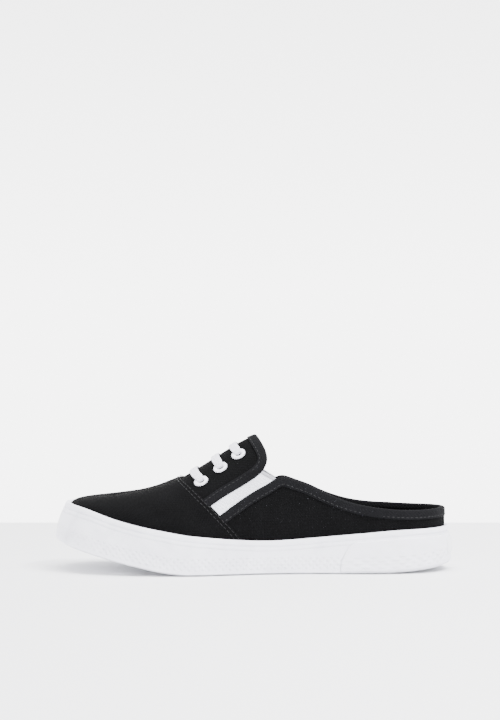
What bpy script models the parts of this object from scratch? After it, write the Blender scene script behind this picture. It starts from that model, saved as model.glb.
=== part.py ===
"""A left slip-on sneaker mule: canvas upper with folded tapes, elastic gores and lace bars on a rubber sole.

Toe at -X, heel at +X, lateral side at -Y, floor at z = 0. Sizes are in millimetres until a mesh is made.
"""

import math

import bmesh
import bpy
import numpy as np

# Overall sizes
LENGTH = 260.0
BALL_WIDTH = 94.0
INSTEP = 88.0
FOXING_HEIGHT = 27.0
MM = 0.001

# Walls, clearances, tapes, gores and laces
GAP = 0.3
CUT_GAP = 0.5
SOLE_GAP = 0.5
INSOLE_GAP = 0.6
EYELET_LIFT = 0.4
WALL = 1.4
VAMP_STEP = 1.5
VAMP_FOOT = 0.6
FOOT_SINK = 8.0
SEAM_EASE = 9.0
FOXING_WALL = 2.6
TAPE = 0.6
TAPE_WIDTH = 6.2
TAPE_LINING = 4.5
GORE_THICK = 1.1
GORE_SINK = 0.15
GORE_TOP = 0.754
GORE_END = (0.5294, 0.562)
LACE_WIDTH = 5.0
LACE_THICK = 1.2

# Bottom of the sole: flat between the two springs
TOE_BREAK = -38.0
TOE_SLOPE = 0.2705
TOE_EASE = 20.0
HEEL_BREAK = 72.0
HEEL_LIFT = 4.4

# Side draft of the rubber, and how far round the toe the steep draft reaches
TOE_DRAFT = 0.29
SIDE_DRAFT = 0.06
DRAFT_REACH = 0.8

# Sole thickness under the foot, where it grows as shares of length, and the insole
OUTSOLE_FORE = 9.0
OUTSOLE_HEEL = 12.0
OUTSOLE_BLEND = (0.3125, 0.9375)
INSOLE_THICK = 5.0

# Column and row counts
HALF_COLUMNS = 36
ARCH_ROWS = 10
EDGE_STEP = 3.3
PANEL_STATIONS = 26
COLLAR_START = 17.2
COLLAR_EVEN = 24
COLLAR_CLOSE = 0.5
SHIFT_SLACK = 0.12
GORE_LONG = 12
GORE_ACROSS = 3
EYELET_TURNS = 14
HEEL_COLUMNS = 27
LABEL_COLUMNS = 9
LABEL_ROWS = 3

# Outline of the sole: share of length from the toe, lateral and medial half width as shares of ball width
OUTLINE = [
    (0.000, -0.074, 0.074),
    (0.012, 0.115, 0.235),
    (0.030, 0.214, 0.312),
    (0.060, 0.312, 0.378),
    (0.100, 0.389, 0.427),
    (0.150, 0.442, 0.463),
    (0.210, 0.481, 0.488),
    (0.275, 0.503, 0.497),
    (0.330, 0.502, 0.480),
    (0.380, 0.484, 0.443),
    (0.440, 0.447, 0.390),
    (0.500, 0.405, 0.343),
    (0.560, 0.375, 0.312),
    (0.620, 0.361, 0.302),
    (0.680, 0.358, 0.306),
    (0.740, 0.360, 0.320),
    (0.800, 0.360, 0.332),
    (0.860, 0.350, 0.334),
    (0.910, 0.320, 0.310),
    (0.950, 0.262, 0.254),
    (0.980, 0.175, 0.170),
    (1.000, 0.000, 0.000),
]

# Height of the rubber strip: share of length, share of foxing height
STRIP = [
    (0.00, 0.985),
    (0.06, 1.035),
    (0.14, 1.005),
    (0.22, 0.990),
    (0.30, 0.985),
    (0.36, 0.935),
    (0.42, 0.875),
    (0.49, 0.820),
    (0.54, 0.803),
    (0.60, 0.825),
    (0.68, 0.890),
    (0.76, 0.955),
    (0.84, 1.010),
    (0.92, 0.995),
    (1.00, 0.930),
]

# Ridge of the foot form: share of length, height above the floor as share of instep
RIDGE = [
    (0.150, 0.527),
    (0.187, 0.547),
    (0.227, 0.572),
    (0.267, 0.603),
    (0.290, 0.628),
    (0.310, 0.656),
    (0.328, 0.683),
    (0.350, 0.722),
    (0.389, 0.796),
    (0.429, 0.873),
    (0.484, 0.968),
    (0.512, 1.003),
    (0.560, 1.085),
    (0.640, 1.140),
    (0.760, 1.160),
    (0.900, 1.160),
]

# Roundness of the cross sections: share of length, superellipse exponent
ROUNDNESS = [
    (0.00, 2.15),
    (0.20, 2.15),
    (0.35, 1.95),
    (0.50, 1.95),
    (0.62, 2.40),
    (0.80, 3.00),
    (1.00, 3.20),
]

# Ridge set back from the outline's ends
TOE_SET = 39.0
TOE_SET_REACH = 45.0
HEEL_SET = 34.0
HEEL_SET_REACH = 38.0
RIDGE_LEAN = 5.0

# Edges in side view: share of length, share of instep
PANEL_EDGE = [
    (0.360, 0.425),
    (0.398, 0.503),
    (0.430, 0.566),
    (0.469, 0.632),
    (0.498, 0.684),
    (0.519, 0.731),
    (0.532, 0.782),
    (0.537, 0.836),
    (0.534, 0.887),
    (0.525, 0.941),
    (0.513, 0.995),
    (0.501, 1.045),
    (0.488, 1.100),
]
QUARTER_EDGE = [
    (0.382, 0.350),
    (0.420, 0.435),
    (0.469, 0.537),
    (0.508, 0.609),
    (0.546, 0.673),
    (0.560, 0.698),
    (0.574, 0.710),
    (0.592, 0.700),
    (0.612, 0.679),
    (0.641, 0.648),
    (0.671, 0.607),
    (0.700, 0.568),
    (0.730, 0.535),
    (0.764, 0.507),
    (0.794, 0.490),
    (0.823, 0.478),
    (0.862, 0.468),
    (0.922, 0.464),
    (0.977, 0.468),
    (1.060, 0.470),
]
VAMP_SEAM = [
    (0.278, 0.780),
    (0.320, 0.694),
    (0.350, 0.632),
    (0.383, 0.544),
    (0.398, 0.503),
    (0.420, 0.437),
    (0.445, 0.361),
    (0.470, 0.276),
]
# Fall of the edges towards the medial side, per millimetre across, and its share along x
MEDIAL_DROP = 0.058
DROP_AT = (-10.0, 16.0, 45.0, 90.0)
DROP_SHARE = (0.0, 1.0, 1.0, 0.0)
NEAR_Y = 25.0

# Reach of the side view outlines across the shoe, ahead, below and above
REACH = 70.0
FAR = 210.0
BELOW = -30.0
ABOVE = (120.0, 160.0)

# Lace bars in side view: ridge end and eyelet centre as shares of length and instep, stop short of the eyelet in mm
LACES = [
    (0.336, 0.745, 0.372, 0.672, 4.15),
    (0.401, 0.836, 0.420, 0.769, 3.65),
    (0.451, 0.934, 0.465, 0.865, 3.8),
]
LACE_OVERRUN = 12.0

# Oval eyelets, their flange profile as shares of width and height, and the holes they stand in
EYELET_LONG = 4.7
EYELET_WIDE = 4.1
EYELET_HOLE = 2.1
EYELET_BARREL = 0.5
EYELET_HEIGHT = 0.9
EYELET_FLANGE = [
    (0.0, 0.80),
    (0.25, 1.00),
    (0.75, 0.85),
    (1.0, 0.0),
]
EYELET_WAY = (0.83, 0.0, 0.56)
HOLE_GAP = 0.45
PIN_REACH = 5.6

# Steps of the side strip, measured down from its top edge
LIP = 3.1
PINSTRIPE = 0.9
PINSTRIPE_DEPTH = 0.5
PINSTRIPE_EASE = 0.3
STRIP_BASE = 1.0
STRIP_BASE_ROUND = (0.5, 0.7)
STRIP_TOP_ROUND = (0.6, 0.7)
STRIP_INNER_ROUND = (0.2, 0.4)
FEATHER_DROP = 1.2

# Heel layer: its front edge by height, share of length and share of foxing height
HEEL_FRONT = [
    (0.716, 0.055),
    (0.719, 0.30),
    (0.727, 0.48),
    (0.738, 0.65),
    (0.756, 0.77),
]
HEEL_LAYER = 0.6
HEEL_LAYER_SINK = 0.9
LAYER_GAP = 0.4
LABEL_THICK = 0.7
LABEL_WIDTH = 22.0
LABEL_LOW = 7.0
LABEL_HIGH = 18.0

# Tread grooves
GROOVE = 2.4
GROOVE_BELOW = 2.0
GROOVE_DEPTH = 1.8
GROOVE_PITCH = 8.5
GROOVE_MARGIN = 7.0
FORE_GROOVES = (-78.0, -8.0)
HEEL_GROOVES = (48.0, 106.0)

# Centring of the whole shoe
SHIFT_X = -1.05
SHIFT_Y = 0.35

for item in list(bpy.data.objects):
    bpy.data.objects.remove(item, do_unlink=True)

parts = bpy.data.collections.new("sneaker_mule")
helpers = bpy.data.collections.new("helpers")
bpy.context.scene.collection.children.link(parts)
bpy.context.scene.collection.children.link(helpers)


def spline(rows, column, span=None):
    """A smooth curve through one column of a table, as knots, values and bends."""
    at = np.array([row[0] for row in rows], float)
    value = np.array([row[column] for row in rows], float)
    if span:
        at = np.concatenate([at[-4:] - span, at, at[:4] + span])
        value = np.concatenate([value[-4:], value, value[:4]])
    step = np.diff(at)
    rise = np.diff(value) / step
    system = np.eye(len(at))
    right = np.zeros(len(at))
    for row in range(1, len(at) - 1):
        system[row, row - 1:row + 2] = step[row - 1], 2 * (step[row - 1] + step[row]), step[row]
        right[row] = 6 * (rise[row] - rise[row - 1])
    return at, value, np.linalg.solve(system, right)


def along(curve, where):
    """The value of a smooth curve."""
    at, value, bend = curve
    where = np.asarray(where, float)
    held = np.clip(where, at[0], at[-1])
    index = np.clip(np.searchsorted(at, held) - 1, 0, len(at) - 2)
    step = at[index + 1] - at[index]
    a = (at[index + 1] - held) / step
    b = 1 - a
    arc = ((a ** 3 - a) * bend[index] + (b ** 3 - b) * bend[index + 1]) * step ** 2 / 6
    return a * value[index] + b * value[index + 1] + arc


def angle_of(share):
    return np.arccos(1 - 2 * np.asarray(share, float))


rows_round = [(float(angle_of(share)), -lateral) for share, lateral, medial in OUTLINE]
rows_round += [(2 * math.pi - float(angle_of(s)), medial) for s, lateral, medial in OUTLINE[-2:0:-1]]
OUTLINE_CURVE = spline(rows_round, 1, 2 * math.pi)
STRIP_CURVE = spline(STRIP, 1)
RIDGE_CURVE = spline(RIDGE, 1)
ROUND_CURVE = spline(ROUNDNESS, 1)


def plan(angle):
    """Sole outline at floor level; the angle runs from the toe along the lateral side to the heel and back."""
    x = -LENGTH / 2 * np.cos(angle)
    y = BALL_WIDTH * along(OUTLINE_CURVE, np.mod(angle, 2 * math.pi))
    return np.stack([x, y], -1)


def outward(angle):
    """Unit normal of the outline, away from the sole."""
    small = 1e-3
    run = plan(angle + small) - plan(angle - small)
    run /= np.linalg.norm(run, axis=-1, keepdims=True)
    return np.stack([run[..., 1], -run[..., 0]], -1)


def rise(x):
    """Height of the sole's bottom above the floor."""
    back = np.maximum(TOE_BREAK - x, 0)
    toe = TOE_SLOPE * (back - TOE_EASE * (1 - np.exp(-back / TOE_EASE)))
    heel = np.maximum(x - HEEL_BREAK, 0) / (LENGTH / 2 - HEEL_BREAK)
    return toe + HEEL_LIFT * heel ** 2


def share_of(x):
    return x / LENGTH + 0.5


def draft(angle):
    """Lean of the rubber's side towards the middle."""
    turn = np.minimum(np.mod(angle, 2 * math.pi), 2 * math.pi - np.mod(angle, 2 * math.pi))
    return SIDE_DRAFT + (TOE_DRAFT - SIDE_DRAFT) * np.exp(-(turn / DRAFT_REACH) ** 2)


def side_point(angle, height, out):
    """A point of the side at a height over the sole's bottom, moved outward from the drafted face."""
    flat = plan(angle) + outward(angle) * np.asarray(out - draft(angle) * height)[..., None]
    return np.concatenate([flat, (rise(flat[..., 0]) + height)[..., None]], -1)


def strip_height(angle):
    return FOXING_HEIGHT * along(STRIP_CURVE, share_of(plan(angle)[..., 0]))


def outsole_height(x):
    start, end = OUTSOLE_BLEND
    blend = np.clip((share_of(x) - start) / (end - start), 0, 1)
    return OUTSOLE_FORE + (OUTSOLE_HEEL - OUTSOLE_FORE) * blend * blend * (3 - 2 * blend)


def station_angles(count):
    """Angles of the half outline at even steps of mean arc length."""
    fine = np.linspace(0, math.pi, 801)
    lateral = np.linalg.norm(np.diff(plan(fine), axis=0), axis=1)
    medial = np.linalg.norm(np.diff(plan(2 * math.pi - fine), axis=0), axis=1)
    run = np.concatenate([[0], np.cumsum(lateral + medial)])
    return np.interp(np.linspace(0, run[-1], count + 1), run, fine)


def full_turn(count):
    half = station_angles(count)
    return np.concatenate([half, (2 * math.pi - half)[-2:0:-1]])


ANGLES = full_turn(HALF_COLUMNS)
COLUMNS = len(ANGLES)
SEAM_FOOT = (VAMP_SEAM[-1][0] - 0.5) * LENGTH


def upper_inset(x):
    """How far the quarter surface stands inside the sole outline; more ahead of the vamp seam."""
    blend = np.clip((x - SEAM_FOOT - SEAM_EASE / 2) / SEAM_EASE, 0, 1)
    return FOXING_WALL + GAP + VAMP_STEP * (1 - blend * blend * (3 - 2 * blend))


def ridge_point(x):
    """Top of the foot form above an outline station."""
    toe = TOE_SET * np.exp(-(x + LENGTH / 2) / TOE_SET_REACH)
    heel = HEEL_SET * np.exp(-(LENGTH / 2 - x) / HEEL_SET_REACH)
    at = x + toe - heel
    lean = RIDGE_LEAN * np.exp(-np.maximum(share_of(at) - 0.1, 0) / 0.2)
    return np.stack([at, lean, INSTEP * along(RIDGE_CURVE, share_of(at))], -1)


def form_grid(angles, rows):
    """The quarter surface: a drafted wall, then a superellipse arch up to the ridge."""
    x = plan(angles)[:, 0]
    inset = upper_inset(x)
    low = outsole_height(x) + GAP
    high = strip_height(angles) - FEATHER_DROP
    foot = side_point(angles, low, -inset)
    feather = side_point(angles, high, -inset)
    top = ridge_point(x)
    power = 2 / along(ROUND_CURVE, share_of(x))
    levels = [foot, feather]
    for row in range(1, rows + 1):
        turn = row / rows * math.pi / 2
        across = (1 - max(math.cos(turn), 0) ** power)[:, None]
        climb = (math.sin(turn) ** power)[:, None]
        point = feather.copy()
        point[:, :2] += (top[:, :2] - feather[:, :2]) * across
        point[:, 2:] += (top[:, 2:] - feather[:, 2:]) * climb
        levels.append(point)
    return np.array(levels)


def grid_normals(grid):
    """Outward unit normals of the surface grid."""
    around = np.roll(grid, -1, axis=1) - np.roll(grid, 1, axis=1)
    up = np.gradient(grid, axis=0)
    normal = np.cross(around, up)
    normal /= np.linalg.norm(normal, axis=2, keepdims=True)
    ridge = grid[-1]
    run = np.roll(ridge, -1, axis=0) - np.roll(ridge, 1, axis=0)
    half = len(ridge) // 2
    run[0] = ridge[1] - ridge[0]
    run[half] = ridge[half] - ridge[half - 1]
    run[half + 1:] *= -1
    top = np.stack([-run[:, 2], np.zeros(len(run)), run[:, 0]], -1)
    normal[-1] = top / np.linalg.norm(top, axis=1, keepdims=True)
    return normal


GRID = form_grid(ANGLES, ARCH_ROWS)
NORMALS = grid_normals(GRID)


def material(name, colour, rough, metal=0.0):
    look = bpy.data.materials.new(name)
    look.use_nodes = True
    shader = look.node_tree.nodes["Principled BSDF"]
    shader.inputs["Base Color"].default_value = (*colour, 1.0)
    shader.inputs["Roughness"].default_value = rough
    shader.inputs["Metallic"].default_value = metal
    look.diffuse_color = (*colour, 1.0)
    return look


def solid(name, points, faces, look=None, smooth=True):
    """A closed mesh in metres, turned right side out; without a look it becomes a hidden helper."""
    mesh = bpy.data.meshes.new(name)
    moved = np.array(points, float) + (SHIFT_X, SHIFT_Y, 0)
    mesh.from_pydata((moved * MM).tolist(), [], faces)
    work = bmesh.new()
    work.from_mesh(mesh)
    bmesh.ops.remove_doubles(work, verts=work.verts, dist=1e-6)
    bmesh.ops.recalc_face_normals(work, faces=work.faces)
    if work.calc_volume(signed=True) < 0:
        bmesh.ops.reverse_faces(work, faces=work.faces)
    for face in work.faces:
        face.smooth = smooth
    work.to_mesh(mesh)
    work.free()
    body = bpy.data.objects.new(name, mesh)
    if look:
        mesh.materials.append(look)
        parts.objects.link(body)
    else:
        helpers.objects.link(body)
        body.hide_render = True
        body.display_type = "WIRE"
    return body


def grid_solid(name, shells, rows, columns, look):
    """A sheet with thickness: two grids of the same rows and columns, closed round their rims."""
    points = np.concatenate([np.array(shell) for shell in shells])
    layer = rows * columns
    faces = []
    for row in range(rows - 1):
        for k in range(columns - 1):
            quad = (row * columns + k, row * columns + k + 1, (row + 1) * columns + k + 1, (row + 1) * columns + k)
            faces.append(quad)
            faces.append(tuple(layer + index for index in reversed(quad)))
    for k in range(columns - 1):
        for a in (k, (rows - 1) * columns + k):
            faces.append((a, a + 1, layer + a + 1, layer + a))
    for row in range(rows - 1):
        for a in (row * columns, row * columns + columns - 1):
            faces.append((a, a + columns, layer + a + columns, layer + a))
    return solid(name, points, faces, look)


def boolean(body, tool, operation):
    step = body.modifiers.new(operation.lower() + "_" + tool.name, "BOOLEAN")
    step.object = tool
    step.operation = operation
    step.solver = "EXACT"
    return body


def form(name, offset, sink=0.0, look=None):
    """A closed solid bounded by the quarter surface moved along its normals; sink lowers its open foot."""
    grid = GRID + NORMALS * offset
    wall = grid[0] - grid[1]
    grid[0] += wall / -wall[:, 2:] * sink
    rows = len(grid) - 1
    half = COLUMNS // 2
    points = list(grid[:-1].reshape(-1, 3)) + list(grid[-1, :half + 1])
    ridge = [rows * COLUMNS + (k if k <= half else COLUMNS - k) for k in range(COLUMNS)]
    faces = []
    for k in range(COLUMNS):
        after = (k + 1) % COLUMNS
        for row in range(rows - 1):
            low = row * COLUMNS
            faces.append((low + k, low + after, low + COLUMNS + after, low + COLUMNS + k))
        last = (rows - 1) * COLUMNS
        faces.append((last + k, last + after, ridge[after], ridge[k]))
    faces += bottom_strips(0)
    return solid(name, points, faces, look)


def bottom_strips(start):
    """Faces that close a ring of columns, each strip from the lateral to the medial side."""
    half = COLUMNS // 2
    faces = [(start, start + COLUMNS - 1, start + 1)]
    for k in range(1, half - 1):
        faces.append((start + k, start + COLUMNS - k, start + COLUMNS - k - 1, start + k + 1))
    faces.append((start + half - 1, start + half + 1, start + half))
    return faces


def curve_points(rows, step=EDGE_STEP):
    """A side view edge in millimetres, smooth and evenly stepped."""
    raw = np.array([((s - 0.5) * LENGTH, z * INSTEP) for s, z in rows])
    run = np.concatenate([[0], np.cumsum(np.linalg.norm(np.diff(raw, axis=0), axis=1))])
    table = [(at, *point) for at, point in zip(run, raw)]
    steps = np.linspace(0, run[-1], int(run[-1] / step) + 1)
    return np.stack([along(spline(table, 1), steps), along(spline(table, 2), steps)], -1)


def shifted(points, distance):
    """The edge moved to its left, without the places nearer to the edge than the move."""
    run = np.gradient(points, axis=0)
    run /= np.linalg.norm(run, axis=1, keepdims=True)
    moved = points + np.stack([-run[:, 1], run[:, 0]], -1) * distance
    far = np.linalg.norm(moved[:, None] - points[None], axis=2).min(axis=1)
    return moved[far > abs(distance) - SHIFT_SLACK]


def prism(name, outline, drop=False):
    """A side view outline carried across the shoe; drop lowers it towards the medial side."""
    near = np.array(outline)
    lean = drop * MEDIAL_DROP * np.interp(near[:, 0], DROP_AT, DROP_SHARE)
    count = len(near)
    rings = []
    for y in (-REACH, REACH):
        rings.append(np.stack([near[:, 0], np.full(count, y), near[:, 1] - lean * (y + NEAR_Y)], -1))
    faces = [tuple(range(count)), tuple(range(2 * count - 1, count - 1, -1))]
    faces += [(k, (k + 1) % count, count + (k + 1) % count, count + k) for k in range(count)]
    return solid(name, np.concatenate(rings), faces, smooth=False)


canvas = material("black_canvas", (0.016, 0.016, 0.017), 0.92)
twill = material("black_tape", (0.027, 0.027, 0.029), 0.85)
elastic = material("white_elastic", (0.86, 0.86, 0.90), 0.80)
cord = material("white_lace", (0.78, 0.77, 0.83), 0.85)
enamel = material("white_eyelet", (0.80, 0.80, 0.86), 0.45)
rubber = material("white_rubber", (0.80, 0.80, 0.85), 0.55)
rubber_heel = material("white_rubber_heel", (0.81, 0.81, 0.86), 0.55)
tread = material("white_tread", (0.76, 0.76, 0.80), 0.60)
footbed = material("black_footbed", (0.020, 0.020, 0.021), 0.90)
label = material("bare_label", (0.82, 0.82, 0.86), 0.50)

panel_edge = curve_points(PANEL_EDGE)
quarter_edge = curve_points(QUARTER_EDGE)
seam = curve_points(VAMP_SEAM)
TAPE_REACH = TAPE + CUT_GAP

# Vamp region ahead of the seam, and the seam with its clearance
ahead = [(seam[-1][0], BELOW), (-FAR, BELOW), (-FAR, ABOVE[0]), (seam[0][0], ABOVE[0])]
vamp_prism = prism("vamp_region", np.concatenate([seam, ahead]))
clear_seam = shifted(seam, GAP)

# Throat and elastic slots: everything between the panel's and the quarter's cut edges
panel_cut = shifted(panel_edge, TAPE_REACH)
quarter_cut = shifted(quarter_edge, -TAPE_REACH)
sky = [(quarter_cut[-1][0], ABOVE[1]), (panel_cut[-1][0], ABOVE[1])]
throat = prism("throat", np.concatenate([quarter_cut, sky, panel_cut[::-1]]), drop=True)


def side_view(points):
    """Surface points as seen from the side, with the medial drop of the edges taken out."""
    lean = MEDIAL_DROP * np.interp(points[..., 0], DROP_AT, DROP_SHARE)
    return np.stack([points[..., 0], points[..., 2] + lean * (points[..., 1] + NEAR_Y)], -1)


def on_grid(column, row, offset=0.0):
    """The quarter surface at a fractional column and row, moved along its normal."""
    column = np.mod(column, COLUMNS)
    row = np.clip(row, 0, len(GRID) - 1.000001)
    k = column.astype(int)
    r = row.astype(int)
    after = (k + 1) % COLUMNS
    a = (column - k)[..., None]
    b = (row - r)[..., None]

    def mixed(field):
        low = field[r, k] * (1 - a) + field[r, after] * a
        high = field[r + 1, k] * (1 - a) + field[r + 1, after] * a
        return low * (1 - b) + high * b

    normal = mixed(NORMALS)
    normal /= np.linalg.norm(normal, axis=-1, keepdims=True)
    return mixed(GRID) + normal * offset


def solved(low, high, test):
    """The place between low and high where a rising test passes zero."""
    low = np.array(low, float)
    high = np.array(high, float)
    for _ in range(40):
        middle = (low + high) / 2
        above = test(middle) > 0
        high = np.where(above, middle, high)
        low = np.where(above, low, middle)
    return (low + high) / 2


def behind_seam(points):
    """How far surface points lie behind the vamp seam's clearance line."""
    seen = side_view(points)
    order = np.argsort(clear_seam[:, 1])
    return seen[..., 0] - np.interp(seen[..., 1], clear_seam[order, 1], clear_seam[order, 0])


def collar_row(depth, offset, stations):
    """Grid places of a line that runs depth below the quarter's edge, from seam to seam round the heel."""
    line = shifted(quarter_edge, -depth) if depth else quarter_edge
    line = line[np.concatenate([[True], np.diff(line[:, 0]) > 0])]
    half = COLUMNS // 2

    def row_at(column):
        start = np.full(column.shape, 1.0)
        end = np.full(column.shape, len(GRID) - 2.0)

        def test(row):
            seen = side_view(on_grid(column, row, offset))
            return seen[..., 1] - np.interp(seen[..., 0], line[:, 0], line[:, 1])

        return solved(start, end, test)

    def start_at(lateral):
        sign = 1 if lateral else -1
        low = half - sign * half * np.array([0.85])
        high = np.array([float(half)])
        return solved(low, high, lambda column: behind_seam(on_grid(column, row_at(column), offset)))

    columns = np.concatenate([start_at(True), stations, start_at(False)])
    return columns, row_at(columns)


def panel_row(depth, offset, stations):
    """Grid places of a line that runs depth inside the panel's edge, from seam over the ridge to seam."""
    line = shifted(panel_edge, depth) if depth else panel_edge
    line = line[np.concatenate([[True], np.diff(line[:, 1]) > 0])]
    half = COLUMNS // 2
    last = len(GRID) - 1.0001

    def column_at(row, lateral):
        toe = 2.0 if lateral else COLUMNS - 2.0
        low = np.full(row.shape, toe)
        high = np.full(row.shape, half + (-4.0 if lateral else 4.0))

        def test(column):
            seen = side_view(on_grid(column, row, offset))
            return seen[..., 0] - np.interp(seen[..., 1], line[:, 1], line[:, 0])

        return solved(low, high, test)

    columns = []
    rows = []
    for lateral in (True, False):
        low = np.array([2.0])
        high = np.array([last])
        first = solved(low, high, lambda row: behind_seam(on_grid(column_at(row, lateral), row, offset)))[0]
        steps = first + (last - first) * np.linspace(0, 1, stations)
        placed = column_at(steps, lateral)
        if not lateral:
            steps = steps[::-1][1:]
            placed = placed[::-1][1:]
        columns.append(placed)
        rows.append(steps)
    return np.concatenate(columns), np.concatenate(rows)


def folded_tape(name, row_of, stations):
    """A tape in a U round the upper's cut edge, swept over the rows that run beside the edge."""
    face = GAP + TAPE
    back = -WALL - CUT_GAP - TAPE
    section = [
        (TAPE_WIDTH, GAP),
        (TAPE_WIDTH, face),
        (TAPE_WIDTH / 2, face),
        (0.0, face),
        (0.0, back),
        (TAPE_LINING, back),
        (TAPE_LINING, back + TAPE),
        (TAPE, back + TAPE),
        (TAPE, GAP),
        (TAPE_WIDTH / 2, GAP),
    ]
    rings = np.array([on_grid(*row_of(depth, offset, stations), offset) for depth, offset in section])
    size, count = rings.shape[:2]
    faces = [tuple(k * count for k in range(size)), tuple(k * count + count - 1 for k in reversed(range(size)))]
    for row in range(size):
        nxt = (row + 1) % size
        for k in range(count - 1):
            faces.append((row * count + k, nxt * count + k, nxt * count + k + 1, row * count + k + 1))
    return solid(name, rings.reshape(-1, 3), faces, twill)


# The collar tape has a station on every column round the heel and closer ones over the peaks
even = np.arange(COLLAR_EVEN, COLUMNS - COLLAR_EVEN + 1)
close = np.arange(COLLAR_START, COLLAR_EVEN, COLLAR_CLOSE)
folded_tape("binding_instep", panel_row, PANEL_STATIONS)
folded_tape("binding_collar", collar_row, np.concatenate([close, even, (COLUMNS - close)[::-1]]))


def surface_frame(x, z, lateral, offset=0.0):
    """The place of the moved quarter surface that is seen at x, z from the side, with its normal."""
    half = COLUMNS // 2
    picked = slice(0, half + 1) if lateral else slice(half, COLUMNS)
    grid = (GRID + NORMALS * offset)[1:, picked]
    seen = side_view(grid)
    normal = NORMALS[1:, picked]
    best = None
    for row in range(grid.shape[0] - 1):
        for column in range(grid.shape[1] - 1):
            cell = seen[row:row + 2, column:column + 2].reshape(4, 2)
            if (cell.min(axis=0) > (x, z)).any() or (cell.max(axis=0) < (x, z)).any():
                continue
            for trio in ((0, 1, 2), (3, 2, 1)):
                a, b, c = cell[list(trio)]
                system = np.array([b - a, c - a]).T
                if abs(np.linalg.det(system)) < 1e-9:
                    continue
                u, v = np.linalg.solve(system, np.array([x, z]) - a)
                if min(u, v, 1 - u - v) < -1e-6:
                    continue
                weight = np.array([1 - u - v, u, v])
                place = weight @ grid[row:row + 2, column:column + 2].reshape(4, 3)[list(trio)]
                lean = weight @ normal[row:row + 2, column:column + 2].reshape(4, 3)[list(trio)]
                if best is None or abs(place[1]) > abs(best[0][1]):
                    best = (place, lean / np.linalg.norm(lean))
    return best


def stepped(points, count):
    """A polyline at even steps."""
    run = np.concatenate([[0], np.cumsum(np.linalg.norm(np.diff(points, axis=0), axis=1))])
    at = np.linspace(0, run[-1], count)
    return np.stack([np.interp(at, run, points[:, 0]), np.interp(at, run, points[:, 1])], -1)


def gore_side(edge, distance, end_x):
    """One long side of a gore in side view, from the seam to the gore's open end."""
    line = stepped(shifted(edge, distance), 400)
    order = np.argsort(clear_seam[:, 1])
    ahead = np.interp(line[:, 1], clear_seam[order, 1], clear_seam[order, 0])
    return stepped(line[(line[:, 0] > ahead) & (line[:, 0] < end_x) & (line[:, 1] < GORE_TOP * INSTEP)], GORE_LONG)


# Elastic gores between the tapes
gore_upper = gore_side(panel_edge, -GAP, (GORE_END[0] - 0.5) * LENGTH)
gore_lower = gore_side(quarter_edge, GAP, (GORE_END[1] - 0.5) * LENGTH)
for side in ("lateral", "medial"):
    shells = []
    for offset in (-GORE_SINK, -GORE_SINK - GORE_THICK):
        layer = []
        for across in np.linspace(0, 1, GORE_ACROSS):
            for point in gore_upper * (1 - across) + gore_lower * across:
                layer.append(surface_frame(point[0], point[1], side == "lateral", offset)[0])
        shells.append(layer)
    grid_solid("gore_" + side, shells, GORE_ACROSS, GORE_LONG, elastic)


def eyelet_solid(name, place, normal, long_way):
    """A flanged ring: its profile is carried round an oval."""
    along_way = long_way - normal * (long_way @ normal)
    along_way /= np.linalg.norm(along_way)
    cross_way = np.cross(normal, along_way)
    profile = [(0.0, -WALL)]
    profile += [(share, EYELET_HEIGHT * high + EYELET_LIFT) for share, high in EYELET_FLANGE]
    profile += [(-1.0, EYELET_LIFT), (-1.0, -WALL)]
    turns = EYELET_TURNS
    points = []
    for k in range(turns):
        turn = 2 * math.pi * k / turns
        for share, high in profile:
            if share < 0:
                long_size = EYELET_HOLE + EYELET_BARREL
                wide_size = long_size
            else:
                long_size = EYELET_HOLE + (EYELET_LONG - EYELET_HOLE) * share
                wide_size = EYELET_HOLE + (EYELET_WIDE - EYELET_HOLE) * share
            flat = along_way * long_size * math.cos(turn) + cross_way * wide_size * math.sin(turn)
            points.append(place + flat + normal * high)
    size = len(profile)
    faces = []
    for k in range(turns):
        after = (k + 1) % turns
        for row in range(size):
            nxt = (row + 1) % size
            faces.append((k * size + row, after * size + row, after * size + nxt, k * size + nxt))
    return solid(name, points, faces, enamel)


def pin_points(place, normal):
    """Corners of a round pin along the normal, wide enough for an eyelet's barrel."""
    start = np.cross(normal, (0.0, 1.0, 0.0))
    start /= np.linalg.norm(start)
    other = np.cross(normal, start)
    turn = np.linspace(0, 2 * math.pi, EYELET_TURNS, endpoint=False)[:, None]
    ring = (start * np.cos(turn) + other * np.sin(turn)) * (EYELET_HOLE + EYELET_BARREL + HOLE_GAP)
    return [place + ring - normal * PIN_REACH, place + ring + normal * PIN_REACH]


pins = []
lace_under = form("lace_under_form", GAP, sink=FOOT_SINK + 1.0)
for number, (ridge_s, ridge_z, eye_s, eye_z, stop) in enumerate(LACES, 1):
    ridge_at = np.array([(ridge_s - 0.5) * LENGTH, ridge_z * INSTEP])
    eye_at = np.array([(eye_s - 0.5) * LENGTH, eye_z * INSTEP])
    for side in ("lateral", "medial"):
        place, normal = surface_frame(eye_at[0], eye_at[1], side == "lateral")
        eyelet_solid(f"eyelet_{side}_{number}", place, normal, np.array(EYELET_WAY))
        pins += pin_points(place, normal)
    down = eye_at - ridge_at
    down /= np.linalg.norm(down)
    across = np.array([-down[1], down[0]]) * LACE_WIDTH / 2
    foot = eye_at - down * stop
    head = ridge_at - down * LACE_OVERRUN
    corners = np.array([foot - across, foot + across, head + across, head - across])
    strip = prism(f"lace_strip_{number}", corners)
    bar = form(f"lace_{number}", GAP + LACE_THICK, sink=FOOT_SINK / 2, look=cord)
    boolean(bar, strip, "INTERSECT")
    boolean(bar, lace_under, "DIFFERENCE")

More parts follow.
